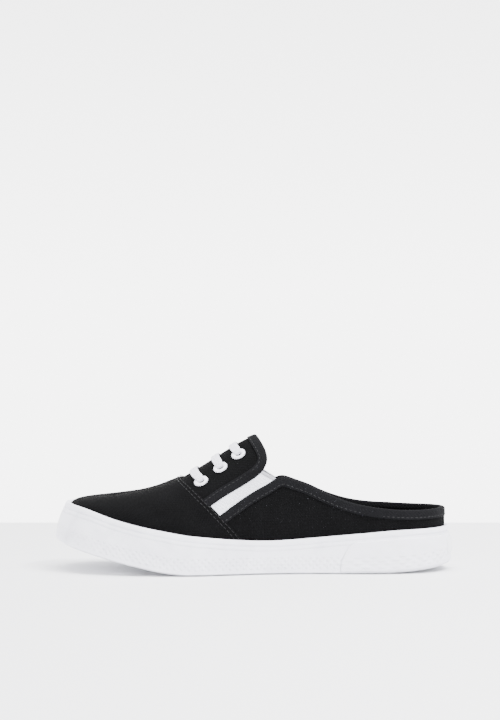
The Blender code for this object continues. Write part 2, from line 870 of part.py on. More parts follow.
faces = []
for start in range(0, len(pins) * EYELET_TURNS, 2 * EYELET_TURNS):
    faces += [tuple(range(start, start + EYELET_TURNS))]
    faces += [tuple(reversed(range(start + EYELET_TURNS, start + 2 * EYELET_TURNS)))]
    for k in range(EYELET_TURNS):
        after = (k + 1) % EYELET_TURNS
        faces.append((start + k, start + after, start + EYELET_TURNS + after, start + EYELET_TURNS + k))
holes = solid("eyelet_holes", np.concatenate(pins), faces, smooth=False)

# Upper: eyelet holes, throat and slots, then the thicker vamp, then the hollow inside
inner = form("inner_form", -WALL, sink=FOOT_SINK)
vamp = boolean(form("vamp_form", VAMP_STEP, sink=-VAMP_FOOT), vamp_prism, "INTERSECT")
upper = form("upper", 0.0, look=canvas)
boolean(upper, holes, "DIFFERENCE")
boolean(upper, throat, "DIFFERENCE")
boolean(upper, vamp, "UNION")
boolean(upper, inner, "DIFFERENCE")


def slab(name, inset, low, high, look):
    """A plate with the sole's outline; low and high give its faces over the sole's bottom."""
    x = plan(ANGLES)[:, 0]
    bottom = side_point(ANGLES, low(x), -inset(x))
    top = side_point(ANGLES, high(x), -inset(x))
    faces = bottom_strips(0)
    faces += [tuple(reversed(face)) for face in bottom_strips(COLUMNS)]
    for k in range(COLUMNS):
        after = (k + 1) % COLUMNS
        faces.append((k, after, COLUMNS + after, COLUMNS + k))
    return solid(name, np.concatenate([bottom, top]), faces, look, smooth=False)


def plain(value):
    return lambda x: np.full(np.shape(x), float(value))


outsole = slab("outsole", plain(FOXING_WALL + SOLE_GAP), plain(0.0), outsole_height, tread)
insole = slab(
    "insole",
    lambda x: upper_inset(x) + WALL + INSOLE_GAP,
    lambda x: outsole_height(x) + GAP,
    lambda x: outsole_height(x) + GAP + INSOLE_THICK,
    footbed,
)

# Grooves of the tread
for start, end in (FORE_GROOVES, HEEL_GROOVES):
    count = int((end - start) / GROOVE_PITCH) + 1
    for k in range(count):
        x = start + k * GROOVE_PITCH
        angle = float(angle_of(share_of(x)))
        low_y = plan(angle)[1] + GROOVE_MARGIN
        high_y = plan(2 * math.pi - angle)[1] - GROOVE_MARGIN
        corners = []
        for y in (low_y, high_y):
            for at in (x - GROOVE / 2, x + GROOVE / 2):
                for high in (-GROOVE_BELOW, GROOVE_DEPTH):
                    corners.append((at, y, float(rise(at)) + high))
        faces = [(0, 1, 3, 2), (4, 6, 7, 5), (0, 4, 5, 1), (2, 3, 7, 6), (0, 2, 6, 4), (1, 5, 7, 3)]
        groove = solid(f"groove_{round(x)}", corners, faces, smooth=False)
        boolean(outsole, groove, "DIFFERENCE")

# Side strip of the sole
top = strip_height(ANGLES)
strip_profile = [
    (-STRIP_BASE_ROUND[0], np.full(COLUMNS, STRIP_BASE)),
    (0.0, np.full(COLUMNS, STRIP_BASE + STRIP_BASE_ROUND[1])),
    (0.0, top - LIP - PINSTRIPE - PINSTRIPE_EASE),
    (-PINSTRIPE_DEPTH, top - LIP - PINSTRIPE),
    (-PINSTRIPE_DEPTH, top - LIP),
    (0.0, top - LIP + PINSTRIPE_EASE),
    (0.0, top - STRIP_TOP_ROUND[1]),
    (-STRIP_TOP_ROUND[0], top),
    (-FOXING_WALL + STRIP_INNER_ROUND[0], top),
    (-FOXING_WALL, top - STRIP_INNER_ROUND[1]),
    (-FOXING_WALL, outsole_height(plan(ANGLES)[:, 0]) + GAP),
    (-FOXING_WALL, np.full(COLUMNS, STRIP_BASE)),
]
rings = np.array([side_point(ANGLES, height, np.full(COLUMNS, out)) for out, height in strip_profile])
size = len(strip_profile)
faces = []
for row in range(size):
    nxt = (row + 1) % size
    for k in range(COLUMNS):
        after = (k + 1) % COLUMNS
        faces.append((row * COLUMNS + k, row * COLUMNS + after, nxt * COLUMNS + after, nxt * COLUMNS + k))
solid("foxing", rings.reshape(-1, 3), faces, rubber)


def patch(name, starts, ends, heights, low_out, high_out, columns, look):
    """A layer on the side strip: rows by height, each from its own start angle to its own end angle."""
    shells = []
    for out in (low_out, high_out):
        layer = []
        for row, height in enumerate(heights):
            angle = np.linspace(starts[row], ends[row], columns)
            layer += list(side_point(angle, height(angle), np.full(columns, out)))
        shells.append(layer)
    return grid_solid(name, shells, len(heights), columns, look)


fronts = np.array([float(angle_of(s)) for s, z in HEEL_FRONT])
heel_rows = [plain(FOXING_HEIGHT * z) for s, z in HEEL_FRONT[:-1]]
heel_rows.append(lambda angle: strip_height(angle) - LIP - PINSTRIPE - HEEL_LAYER_SINK)
layer_face = LAYER_GAP + HEEL_LAYER
patch("heel_foxing", fronts, 2 * math.pi - fronts, heel_rows, LAYER_GAP, layer_face, HEEL_COLUMNS, rubber_heel)

# Label plate round the middle of the heel
half_turn = LABEL_WIDTH / BALL_WIDTH
label_rows = [plain(high) for high in np.linspace(LABEL_LOW, LABEL_HIGH, LABEL_ROWS)]
label_start = np.full(LABEL_ROWS, math.pi - half_turn)
label_end = np.full(LABEL_ROWS, math.pi + half_turn)
label_back = layer_face + GAP
patch("heel_label", label_start, label_end, label_rows, label_back, label_back + LABEL_THICK, LABEL_COLUMNS, label)
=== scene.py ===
"""Looks of the slip-on sneaker mule: canvas, tapes, elastic, laces, enamelled eyelets and moulded rubber.

Toe at -X, heel at +X, lateral side at -Y, floor at z = 0. Shapes are worked out in millimetres and turned
to metres where a mesh is made. The shoe's surface has two parameters: a column, which runs round the sole's
outline from the toe along the lateral side to the heel and back, and a row, which climbs from the sole to
the ridge.
"""

import math

import bmesh
import bpy
import numpy as np
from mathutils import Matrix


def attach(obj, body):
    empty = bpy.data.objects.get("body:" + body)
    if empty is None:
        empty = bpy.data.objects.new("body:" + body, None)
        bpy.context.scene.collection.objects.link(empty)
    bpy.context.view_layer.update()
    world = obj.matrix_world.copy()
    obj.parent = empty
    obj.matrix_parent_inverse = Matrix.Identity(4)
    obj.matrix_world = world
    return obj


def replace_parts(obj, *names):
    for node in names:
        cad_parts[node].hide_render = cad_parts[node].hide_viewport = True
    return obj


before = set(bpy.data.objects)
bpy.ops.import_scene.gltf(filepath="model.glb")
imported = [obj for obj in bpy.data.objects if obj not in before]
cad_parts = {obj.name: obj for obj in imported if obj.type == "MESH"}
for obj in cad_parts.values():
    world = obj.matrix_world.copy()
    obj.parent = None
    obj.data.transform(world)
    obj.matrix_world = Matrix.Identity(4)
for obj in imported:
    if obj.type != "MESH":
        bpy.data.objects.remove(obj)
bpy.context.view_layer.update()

MM = 0.001

# Driving sizes of the shoe
LENGTH = 260.0
BALL_WIDTH = 94.0
INSTEP = 88.0
FOXING_HEIGHT = 27.0
SHIFT = np.array([-1.05, 0.35, 0.0])

# Walls, steps and clearances
GAP = 0.3
WALL = 1.4
CUT_GAP = 0.5
VAMP_STEP = 1.5
SEAM_EASE = 9.0
SEAM_FOOT_SHARE = 0.470
FOXING_WALL = 2.6
FEATHER_DROP = 1.2
TAPE = 0.6
TAPE_WIDTH = 6.2
TAPE_LINING = 4.5
LACE_WIDTH = 5.8
LACE_THICK = 1.2
EYELET_LIFT = 0.4
INSOLE_GAP = 0.6
INSOLE_THICK = 5.0

# Bottom of the sole, flat between its two springs
TOE_BREAK = -38.0
TOE_SLOPE = 0.2705
TOE_EASE = 20.0
HEEL_BREAK = 72.0
HEEL_LIFT = 4.4
OUTSOLE_FORE = 9.0
OUTSOLE_HEEL = 12.0
OUTSOLE_BLEND = (0.3125, 0.9375)

# Side draft of the rubber, and how far round the toe the steep draft reaches
TOE_DRAFT = 0.29
SIDE_DRAFT = 0.06
DRAFT_REACH = 0.8

# Fineness of the surface: columns round half the shoe and rows of its arch
HALF_COLUMNS = 180
ARCH_ROWS = 56

# Outline of the sole: share of length from the toe, lateral and medial half width as shares of ball width
OUTLINE = [
    (0.000, -0.074, 0.074),
    (0.012, 0.115, 0.235),
    (0.030, 0.214, 0.312),
    (0.060, 0.312, 0.378),
    (0.100, 0.389, 0.427),
    (0.150, 0.442, 0.463),
    (0.210, 0.481, 0.488),
    (0.275, 0.503, 0.497),
    (0.330, 0.502, 0.480),
    (0.380, 0.484, 0.443),
    (0.440, 0.447, 0.390),
    (0.500, 0.405, 0.343),
    (0.560, 0.375, 0.312),
    (0.620, 0.361, 0.302),
    (0.680, 0.358, 0.306),
    (0.740, 0.360, 0.320),
    (0.800, 0.360, 0.332),
    (0.860, 0.350, 0.334),
    (0.910, 0.320, 0.310),
    (0.950, 0.262, 0.254),
    (0.980, 0.175, 0.170),
    (1.000, 0.000, 0.000),
]

# Height of the rubber strip: share of length, share of foxing height
STRIP = [
    (0.00, 0.985),
    (0.06, 1.035),
    (0.14, 1.005),
    (0.22, 0.990),
    (0.30, 0.985),
    (0.36, 0.935),
    (0.42, 0.875),
    (0.49, 0.820),
    (0.54, 0.803),
    (0.60, 0.825),
    (0.68, 0.890),
    (0.76, 0.955),
    (0.84, 1.010),
    (0.92, 0.995),
    (1.00, 0.930),
]

# Ridge of the foot form: share of length, height above the floor as share of instep
RIDGE = [
    (0.150, 0.527),
    (0.187, 0.547),
    (0.227, 0.572),
    (0.267, 0.603),
    (0.290, 0.628),
    (0.310, 0.656),
    (0.328, 0.683),
    (0.350, 0.722),
    (0.389, 0.796),
    (0.429, 0.873),
    (0.484, 0.968),
    (0.512, 1.003),
    (0.560, 1.085),
    (0.640, 1.140),
    (0.760, 1.160),
    (0.900, 1.160),
]

# Roundness of the cross sections: share of length, superellipse exponent
ROUNDNESS = [
    (0.00, 2.15),
    (0.20, 2.15),
    (0.35, 1.95),
    (0.50, 1.95),
    (0.62, 2.40),
    (0.80, 3.00),
    (1.00, 3.20),
]

# Ridge set back from the outline's ends, its lean at the toe, and where along the length the lean fades
TOE_SET = 39.0
TOE_SET_REACH = 45.0
HEEL_SET = 34.0
HEEL_SET_REACH = 38.0
RIDGE_LEAN = 5.0
LEAN_START = 0.1
LEAN_REACH = 0.2

# Edges in side view: share of length, share of instep
PANEL_EDGE = [
    (0.360, 0.425),
    (0.398, 0.503),
    (0.430, 0.566),
    (0.469, 0.632),
    (0.498, 0.684),
    (0.519, 0.731),
    (0.532, 0.782),
    (0.537, 0.836),
    (0.534, 0.887),
    (0.525, 0.941),
    (0.513, 0.995),
    (0.501, 1.045),
    (0.488, 1.100),
]
QUARTER_EDGE = [
    (0.382, 0.350),
    (0.420, 0.435),
    (0.469, 0.537),
    (0.508, 0.609),
    (0.546, 0.673),
    (0.560, 0.698),
    (0.574, 0.710),
    (0.592, 0.700),
    (0.612, 0.679),
    (0.641, 0.648),
    (0.671, 0.607),
    (0.700, 0.568),
    (0.730, 0.535),
    (0.764, 0.507),
    (0.794, 0.490),
    (0.823, 0.478),
    (0.862, 0.468),
    (0.922, 0.464),
    (0.977, 0.468),
    (1.060, 0.470),
]
VAMP_SEAM = [
    (0.278, 0.780),
    (0.320, 0.694),
    (0.350, 0.632),
    (0.383, 0.544),
    (0.398, 0.503),
    (0.420, 0.437),
    (0.445, 0.361),
    (0.470, 0.276),
    (0.486, 0.200),
]

# Fall of the edges towards the medial side, per millimetre across, and its share along x
MEDIAL_DROP = 0.058
DROP_AT = (-10.0, 16.0, 45.0, 90.0)
DROP_SHARE = (0.0, 1.0, 1.0, 0.0)
NEAR_Y = 25.0

# A side's columns are searched from a few columns off the toe to a share of the way to the heel
TOE_MARGIN = 8.0
SEAM_SEARCH = 0.9
GORE_SEARCH = 0.96


def spline(rows, column, span=None):
    """A smooth curve through a column of a table: knots, values and bends; span closes it into a loop."""
    at = np.array([row[0] for row in rows], float)
    value = np.array([row[column] for row in rows], float)
    if span:
        at = np.concatenate([at[-4:] - span, at, at[:4] + span])
        value = np.concatenate([value[-4:], value, value[:4]])
    step = np.diff(at)
    climb = np.diff(value) / step
    system = np.eye(len(at))
    right = np.zeros(len(at))
    for row in range(1, len(at) - 1):
        system[row, row - 1:row + 2] = step[row - 1], 2 * (step[row - 1] + step[row]), step[row]
        right[row] = 6 * (climb[row] - climb[row - 1])
    return at, value, np.linalg.solve(system, right)


def along(curve, where):
    """The value of a smooth curve: cubic pieces between its knots, held still outside them."""
    at, value, bend = curve
    held = np.clip(np.asarray(where, float), at[0], at[-1])
    index = np.clip(np.searchsorted(at, held) - 1, 0, len(at) - 2)
    step = at[index + 1] - at[index]
    a = (at[index + 1] - held) / step
    b = 1 - a
    arc = ((a ** 3 - a) * bend[index] + (b ** 3 - b) * bend[index + 1]) * step ** 2 / 6
    return a * value[index] + b * value[index + 1] + arc


def angle_of(share):
    """The outline's angle where it passes a share of the length."""
    return np.arccos(1 - 2 * np.asarray(share, float))


rows_round = [(float(angle_of(share)), -lateral) for share, lateral, medial in OUTLINE]
rows_round += [(2 * math.pi - float(angle_of(s)), medial) for s, lateral, medial in OUTLINE[-2:0:-1]]
OUTLINE_CURVE = spline(rows_round, 1, 2 * math.pi)
STRIP_CURVE = spline(STRIP, 1)
RIDGE_CURVE = spline(RIDGE, 1)
ROUND_CURVE = spline(ROUNDNESS, 1)


def toe_turn(angle):
    """How far round from the toe an angle lies, either way."""
    turn = np.mod(angle, 2 * math.pi)
    return np.minimum(turn, 2 * math.pi - turn)


def plan(angle):
    """Sole outline at floor level: x is a cosine of the angle, y is read from the outline's smooth curve."""
    x = -LENGTH / 2 * np.cos(angle)
    y = BALL_WIDTH * along(OUTLINE_CURVE, np.mod(angle, 2 * math.pi))
    return np.stack([x, y], -1)


def outward(angle):
    """Unit normal of the outline, away from the sole."""
    small = 1e-3
    run = plan(angle + small) - plan(angle - small)
    run /= np.linalg.norm(run, axis=-1, keepdims=True)
    return np.stack([run[..., 1], -run[..., 0]], -1)


def rise(x):
    """Height of the sole's bottom above the floor: an eased slope at the toe, a parabola at the heel."""
    back = np.maximum(TOE_BREAK - x, 0)
    toe = TOE_SLOPE * (back - TOE_EASE * (1 - np.exp(-back / TOE_EASE)))
    heel = np.maximum(x - HEEL_BREAK, 0) / (LENGTH / 2 - HEEL_BREAK)
    return toe + HEEL_LIFT * heel ** 2


def share_of(x):
    """Share of the length, 0 at the toe and 1 at the heel."""
    return x / LENGTH + 0.5


def station(share):
    """The place along x of a share of the length."""
    return (share - 0.5) * LENGTH


def draft(angle):
    """Lean of the rubber's side towards the middle, steepest round the toe."""
    return SIDE_DRAFT + (TOE_DRAFT - SIDE_DRAFT) * np.exp(-(toe_turn(angle) / DRAFT_REACH) ** 2)


def side_point(angle, height, out):
    """A point of the side: the outline leaned in by its draft, moved outward, at a height over the bottom."""
    flat = plan(angle) + outward(angle) * np.asarray(out - draft(angle) * height)[..., None]
    return np.concatenate([flat, (rise(flat[..., 0]) + height)[..., None]], -1)


def strip_height(angle):
    """Height of the rubber strip over the sole's bottom."""
    return FOXING_HEIGHT * along(STRIP_CURVE, share_of(plan(angle)[..., 0]))


def outsole_height(x):
    """Thickness of the sole plate, which grows smoothly from forefoot to heel."""
    start, end = OUTSOLE_BLEND
    blend = np.clip((share_of(x) - start) / (end - start), 0, 1)
    return OUTSOLE_FORE + (OUTSOLE_HEEL - OUTSOLE_FORE) * blend * blend * (3 - 2 * blend)


def full_turn(count):
    """Angles of the whole outline at even steps of the two sides' mean arc length."""
    fine = np.linspace(0, math.pi, 2001)
    lateral = np.linalg.norm(np.diff(plan(fine), axis=0), axis=1)
    medial = np.linalg.norm(np.diff(plan(2 * math.pi - fine), axis=0), axis=1)
    run = np.concatenate([[0], np.cumsum(lateral + medial)])
    half = np.interp(np.linspace(0, run[-1], count + 1), run, fine)
    return np.concatenate([half, (2 * math.pi - half)[-2:0:-1]])


ANGLES = full_turn(HALF_COLUMNS)
COLUMNS = len(ANGLES)
HALF = COLUMNS // 2
SEAM_FOOT = station(SEAM_FOOT_SHARE)


def upper_inset(x):
    """How far the upper stands inside the sole outline: more ahead of the seam, where the vamp is thicker."""
    blend = np.clip((x - SEAM_FOOT - SEAM_EASE / 2) / SEAM_EASE, 0, 1)
    return FOXING_WALL + GAP + VAMP_STEP * (1 - blend * blend * (3 - 2 * blend))


def ridge_point(x):
    """Top of the foot form above an outline station, drawn back from both ends and leaning at the toe."""
    toe = TOE_SET * np.exp(-(x + LENGTH / 2) / TOE_SET_REACH)
    heel = HEEL_SET * np.exp(-(LENGTH / 2 - x) / HEEL_SET_REACH)
    at = x + toe - heel
    lean = RIDGE_LEAN * np.exp(-np.maximum(share_of(at) - LEAN_START, 0) / LEAN_REACH)
    return np.stack([at, lean, INSTEP * along(RIDGE_CURVE, share_of(at))], -1)


def form_grid(angles, rows):
    """The upper's surface: a drafted wall, then a superellipse arch up to the ridge."""
    x = plan(angles)[:, 0]
    inset = upper_inset(x)
    foot = side_point(angles, outsole_height(x) + GAP, -inset)
    feather = side_point(angles, strip_height(angles) - FEATHER_DROP, -inset)
    top = ridge_point(x)
    power = (2 / along(ROUND_CURVE, share_of(x)))[None, :, None]
    turn = (np.arange(1, rows + 1) / rows * math.pi / 2)[:, None, None]
    across = 1 - np.maximum(np.cos(turn), 0) ** power
    climb = np.sin(turn) ** power
    reach = (top - feather)[None]
    arch = feather[None] + np.concatenate([reach[..., :2] * across, reach[..., 2:] * climb], -1)
    return np.concatenate([foot[None], feather[None], arch])


def grid_normals(grid):
    """Outward unit normals of the surface grid; on the ridge they stand across its run."""
    around = np.roll(grid, -1, axis=1) - np.roll(grid, 1, axis=1)
    normal = np.cross(around, np.gradient(grid, axis=0))
    normal /= np.maximum(np.linalg.norm(normal, axis=2, keepdims=True), 1e-9)
    ridge = grid[-1]
    run = np.roll(ridge, -1, axis=0) - np.roll(ridge, 1, axis=0)
    run[0] = ridge[1] - ridge[0]
    run[HALF] = ridge[HALF] - ridge[HALF - 1]
    run[HALF + 1:] *= -1
    top = np.stack([-run[:, 2], np.zeros(len(run)), run[:, 0]], -1)
    normal[-1] = top / np.linalg.norm(top, axis=1, keepdims=True)
    return normal


GRID = form_grid(ANGLES, ARCH_ROWS)
NORMALS = grid_normals(GRID)
LAST_ROW = len(GRID) - 1.0001


def on_grid(column, row, offset=0.0):
    """The upper's surface at a fractional column and row, moved along its normal."""
    column = np.mod(column, COLUMNS)
    row = np.clip(row, 0, LAST_ROW)
    k = column.astype(int)
    r = row.astype(int)
    after = (k + 1) % COLUMNS
    a = (column - k)[..., None]
    b = (row - r)[..., None]

    def mixed(field):
        """The field between its four nearest points, by straight shares."""
        low = field[r, k] * (1 - a) + field[r, after] * a
        high = field[r + 1, k] * (1 - a) + field[r + 1, after] * a
        return low * (1 - b) + high * b

    normal = mixed(NORMALS)
    normal /= np.linalg.norm(normal, axis=-1, keepdims=True)
    return mixed(GRID) + normal * np.asarray(offset)[..., None]


def side_view(points):
    """Surface points as seen from the side, with the medial drop of the edges taken out."""
    lean = MEDIAL_DROP * np.interp(points[..., 0], DROP_AT, DROP_SHARE)
    return np.stack([points[..., 0], points[..., 2] + lean * (points[..., 1] + NEAR_Y)], -1)


def solved(low, high, test):
    """The place between low and high where a rising test passes zero, by halving."""
    low = np.array(low, float)
    high = np.array(high, float)
    for _ in range(36):
        middle = (low + high) / 2
        above = test(middle) > 0
        high = np.where(above, middle, high)
        low = np.where(above, low, middle)
    return (low + high) / 2


def run_along(points):
    """Distance of each point of a polyline from its first, measured along it."""
    return np.concatenate([[0], np.cumsum(np.linalg.norm(np.diff(points, axis=0), axis=1))])


def curve_points(rows):
    """A side view edge in millimetres, smooth and in even steps of about one."""
    raw = np.array([(station(s), z * INSTEP) for s, z in rows])
    run = run_along(raw)
    table = [(at, *point) for at, point in zip(run, raw)]
    steps = np.linspace(0, run[-1], int(run[-1]) + 1)
    return np.stack([along(spline(table, 1), steps), along(spline(table, 2), steps)], -1)


def shifted(points, distance):
    """The edge moved to its left, without the places nearer to the edge than the move."""
    run = np.gradient(points, axis=0)
    run /= np.linalg.norm(run, axis=1, keepdims=True)
    moved = points + np.stack([-run[:, 1], run[:, 0]], -1) * distance
    far = np.linalg.norm(moved[:, None] - points[None], axis=2).min(axis=1)
    return moved[far > abs(distance) - 0.02]


PANEL_LINE = curve_points(PANEL_EDGE)
QUARTER_LINE = curve_points(QUARTER_EDGE)
SEAM_LINE = curve_points(VAMP_SEAM)


def behind(line, points):
    """How far points lie behind a line that falls steadily in side view, along x."""
    seen = side_view(points)
    order = np.argsort(line[:, 1])
    return seen[..., 0] - np.interp(seen[..., 1], line[order, 1], line[order, 0])


def over(line, points):
    """How far points lie above a line that runs steadily back in side view, along z."""
    seen = side_view(points)
    return seen[..., 1] - np.interp(seen[..., 0], line[:, 0], line[:, 1])


def rising(line, axis):
    """A line with only its steps that go up along an axis."""
    return line[np.concatenate([[True], np.diff(line[:, axis]) > 0])]


def quarter_row(column, depth, offset):
    """The row where a line that runs depth below the quarter's edge crosses each column."""
    line = rising(shifted(QUARTER_LINE, -depth) if depth else QUARTER_LINE, 0)
    low = np.full(column.shape, 1.0)
    high = np.full(column.shape, LAST_ROW - 1)
    return solved(low, high, lambda row: over(line, on_grid(column, row, offset)))


def side_span(shape, lateral, reach):
    """Columns between which one side is searched: off the toe, and a share of the way to the heel."""
    near, far = TOE_MARGIN, HALF * reach
    if not lateral:
        near, far = COLUMNS - near, COLUMNS - far
    return np.full(shape, near), np.full(shape, far)


def seam_column(row, line, offset, lateral):
    """The column where a line in side view, such as one beside the vamp seam, crosses each row."""
    toe, heel = side_span(row.shape, lateral, SEAM_SEARCH)
    return solved(toe, heel, lambda column: behind(line, on_grid(column, row, offset)))


def panel_column(row, depth, offset, lateral):
    """The column where a line that runs depth inside the panel's edge crosses each row."""
    line = rising(shifted(PANEL_LINE, depth) if depth else PANEL_LINE, 1)
    return seam_column(row, line, offset, lateral)


def seen_at(points, lateral, offset):
    """Columns and rows where the moved surface is seen at side view points, by x and then by height."""
    toe, heel = side_span(points.shape[:-1], lateral, GORE_SEARCH)

    def column_for(row):
        """The column whose x is each point's, at a row."""
        return solved(
            toe, heel, lambda column: side_view(on_grid(column, row, offset))[..., 0] - points[..., 0])

    def height_error(row):
        """How far a row lies above each point."""
        return side_view(on_grid(column_for(row), row, offset))[..., 1] - points[..., 1]

    row = solved(np.full(toe.shape, 0.5), np.full(toe.shape, LAST_ROW), height_error)
    return column_for(row), row


def normal_at(columns, rows):
    """The surface's normal at columns and rows."""
    return on_grid(columns, rows, 1.0) - on_grid(columns, rows, 0.0)


def unit(vector):
    """A vector of length one."""
    return vector / np.linalg.norm(vector, axis=-1, keepdims=True)


def quads(rows, columns):
    """Corner numbers of the faces of a grid of points, row by row."""
    r, c = np.meshgrid(np.arange(rows - 1), np.arange(columns - 1), indexing="ij")
    corner = (r * columns + c).reshape(-1, 1)
    return corner + np.array([0, 1, columns + 1, columns])


def rim(edge, layer, turned):
    """Faces that join an edge of the front layer to the same edge of the back layer."""
    face = np.stack([edge[:-1], edge[1:], edge[1:] + layer, edge[:-1] + layer], -1)
    return face[:, ::-1] if turned else face


def linked(name, points, faces, look, field=None, merge=False):
    """A smooth mesh in metres at the origin, turned right side out, riding on the shoe."""
    mesh = bpy.data.meshes.new(name)
    mesh.from_pydata(((points + SHIFT) * MM).tolist(), [], faces)
    if field is not None:
        layer = mesh.attributes.new("cloth", "FLOAT_VECTOR", "POINT")
        layer.data.foreach_set("vector", (field * MM).astype(np.float32).ravel())
    work = bmesh.new()
    work.from_mesh(mesh)
    if merge:
        bmesh.ops.remove_doubles(work, verts=work.verts, dist=2e-6)
        bmesh.ops.recalc_face_normals(work, faces=work.faces)
    if work.calc_volume(signed=True) < 0:
        bmesh.ops.reverse_faces(work, faces=work.faces)
    work.to_mesh(mesh)
    work.free()
    mesh.polygons.foreach_set("use_smooth", np.ones(len(mesh.polygons), bool))
    mesh.materials.append(look)
    piece = bpy.data.objects.new(name, mesh)
    bpy.context.scene.collection.objects.link(piece)
    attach(piece, "root")
    return piece


def arc_field(front):
    """Distances over a sheet in millimetres: along its rows from their middle, and up its columns."""
    along_row = np.linalg.norm(np.diff(front, axis=1), axis=2)
    run = np.concatenate([np.zeros((len(front), 1)), np.cumsum(along_row, axis=1)], axis=1)
    run -= run[:, front.shape[1] // 2][:, None]
    up_column = np.linalg.norm(np.diff(front, axis=0), axis=2)
    climb = np.concatenate([np.zeros((1, front.shape[1])), np.cumsum(up_column, axis=0)])
    return np.stack([run, climb, np.zeros_like(run)], -1)


def sheet(name, front, back, look, ridge=False, field=None):
    """A sheet with thickness from two grids of points, closed round its rims; a ridge row folds on itself."""
    rows, columns = front.shape[:2]
    layer = rows * columns
    face = quads(rows, columns)
    low = np.arange(columns)
    left = np.arange(rows) * columns
    faces = [face, face[:, ::-1] + layer, rim(low, layer, True)]
    faces += [rim(left, layer, False), rim(left + columns - 1, layer, True)]
    if not ridge:
        faces.append(rim(low + layer - columns, layer, False))
    if field is None:
        field = arc_field(front)
    points = np.concatenate([front.reshape(-1, 3), back.reshape(-1, 3)])
    both = np.concatenate([field.reshape(-1, 3)] * 2)
    return linked(name, points, np.concatenate(faces).tolist(), look, both, merge=True)


def swept(name, rings, look, field=None, loop=False):
    """A section carried along a path, section by station; loop closes the path, else its ends are capped."""
    size, count = rings.shape[:2]
    s, k = np.meshgrid(np.arange(size), np.arange(count if loop else count - 1), indexing="ij")
    here, below, after = s * count, (s + 1) % size * count, (k + 1) % count
    faces = np.stack([here + k, below + k, below + after, here + after], -1).reshape(-1, 4).tolist()
    if not loop:
        first = np.arange(size) * count
        faces += [first.tolist(), (first + count - 1)[::-1].tolist()]
    if field is None:
        field = arc_field(rings)
    return linked(name, rings.reshape(-1, 3), faces, look, field.reshape(-1, 3))


# Patterns: broad patches of some 17 mm, handling marks of some 22 mm, noise to a thread's width, ramp stops,
# shares of tint and relief, and depths of bump in millimetres
IOR = 1.5
PATCH_SCALE = 60.0
MARK_SCALE = 45.0
THREAD_NOISE = 0.6
TINT_STOPS = (0.30, 0.80)
MARK_STOPS = (0.36, 0.54)
THREAD_TINT = 0.75
PATCH_TINT = 0.35
THREAD_RELIEF = 0.5
GRAIN_DEPTH = 0.07
KNURL_DEPTH = 0.6
KNURL_EDGE = 0.6
KNURL_GRAIN = 0.12


def linear(code):
    """The linear colour of an sRGB hex code."""
    parts = np.array([int(code[k:k + 2], 16) for k in (0, 2, 4)]) / 255
    value = np.where(parts <= 0.04045, parts / 12.92, ((parts + 0.055) / 1.055) ** 2.4)
    return (*value.tolist(), 1.0)


def add_node(tree, kind, settings=None):
    """Adds a node; an output given for a socket is linked, any other value set on the node or a socket."""
    node = tree.nodes.new(kind)
    for key, value in (settings or {}).items():
        if isinstance(value, bpy.types.NodeSocket):
            tree.links.new(value, node.inputs[key])
        elif isinstance(key, str) and hasattr(node, key):
            setattr(node, key, value)
        else:
            node.inputs[key].default_value = value
    return node


def maths(tree, operation, *values):
    """The output of a math node whose sockets take the values in turn."""
    return add_node(tree, "ShaderNodeMath", {"operation": operation, **dict(enumerate(values))}).outputs[0]


def ramp(tree, factor, stops, codes):
    """The output of a colour ramp between two stops, which take sRGB hex colours."""
    node = add_node(tree, "ShaderNodeValToRGB", {"Fac": factor})
    for stop, at, code in zip(node.color_ramp.elements, stops, codes):
        stop.position = at
        stop.color = linear(code)
    return node.outputs["Color"]


def wave_scale(pitch):
    """Scale of a wave texture that repeats every two pitches: its period is pi / (10 * scale)."""
    return 1 / (pitch * MM) / 2 * math.pi / 10


def surface_look(name, colour, roughness, **extra):
    """A material with its shader's own sockets set, and the tree that patterns are added to."""
    look = bpy.data.materials.new(name)
    look.use_nodes = True
    tree = look.node_tree
    shader = tree.nodes["Principled BSDF"]
    shader.inputs["Base Color"].default_value = linear(colour)
    shader.inputs["Roughness"].default_value = roughness
    shader.inputs["IOR"].default_value = IOR
    for socket, value in extra.items():
        shader.inputs[socket.replace("_", " ")].default_value = value
    look.diffuse_color = linear(colour)
    return look, tree, shader


def patterned(tree, shader, colour, height, depth):
    """Links a colour to the shader, and a height as a bump of some millimetres."""
    tree.links.new(colour, shader.inputs["Base Color"])
    bump = add_node(tree, "ShaderNodeBump", {"Strength": 1.0, "Distance": depth * MM, "Height": height})
    tree.links.new(bump.outputs["Normal"], shader.inputs["Normal"])


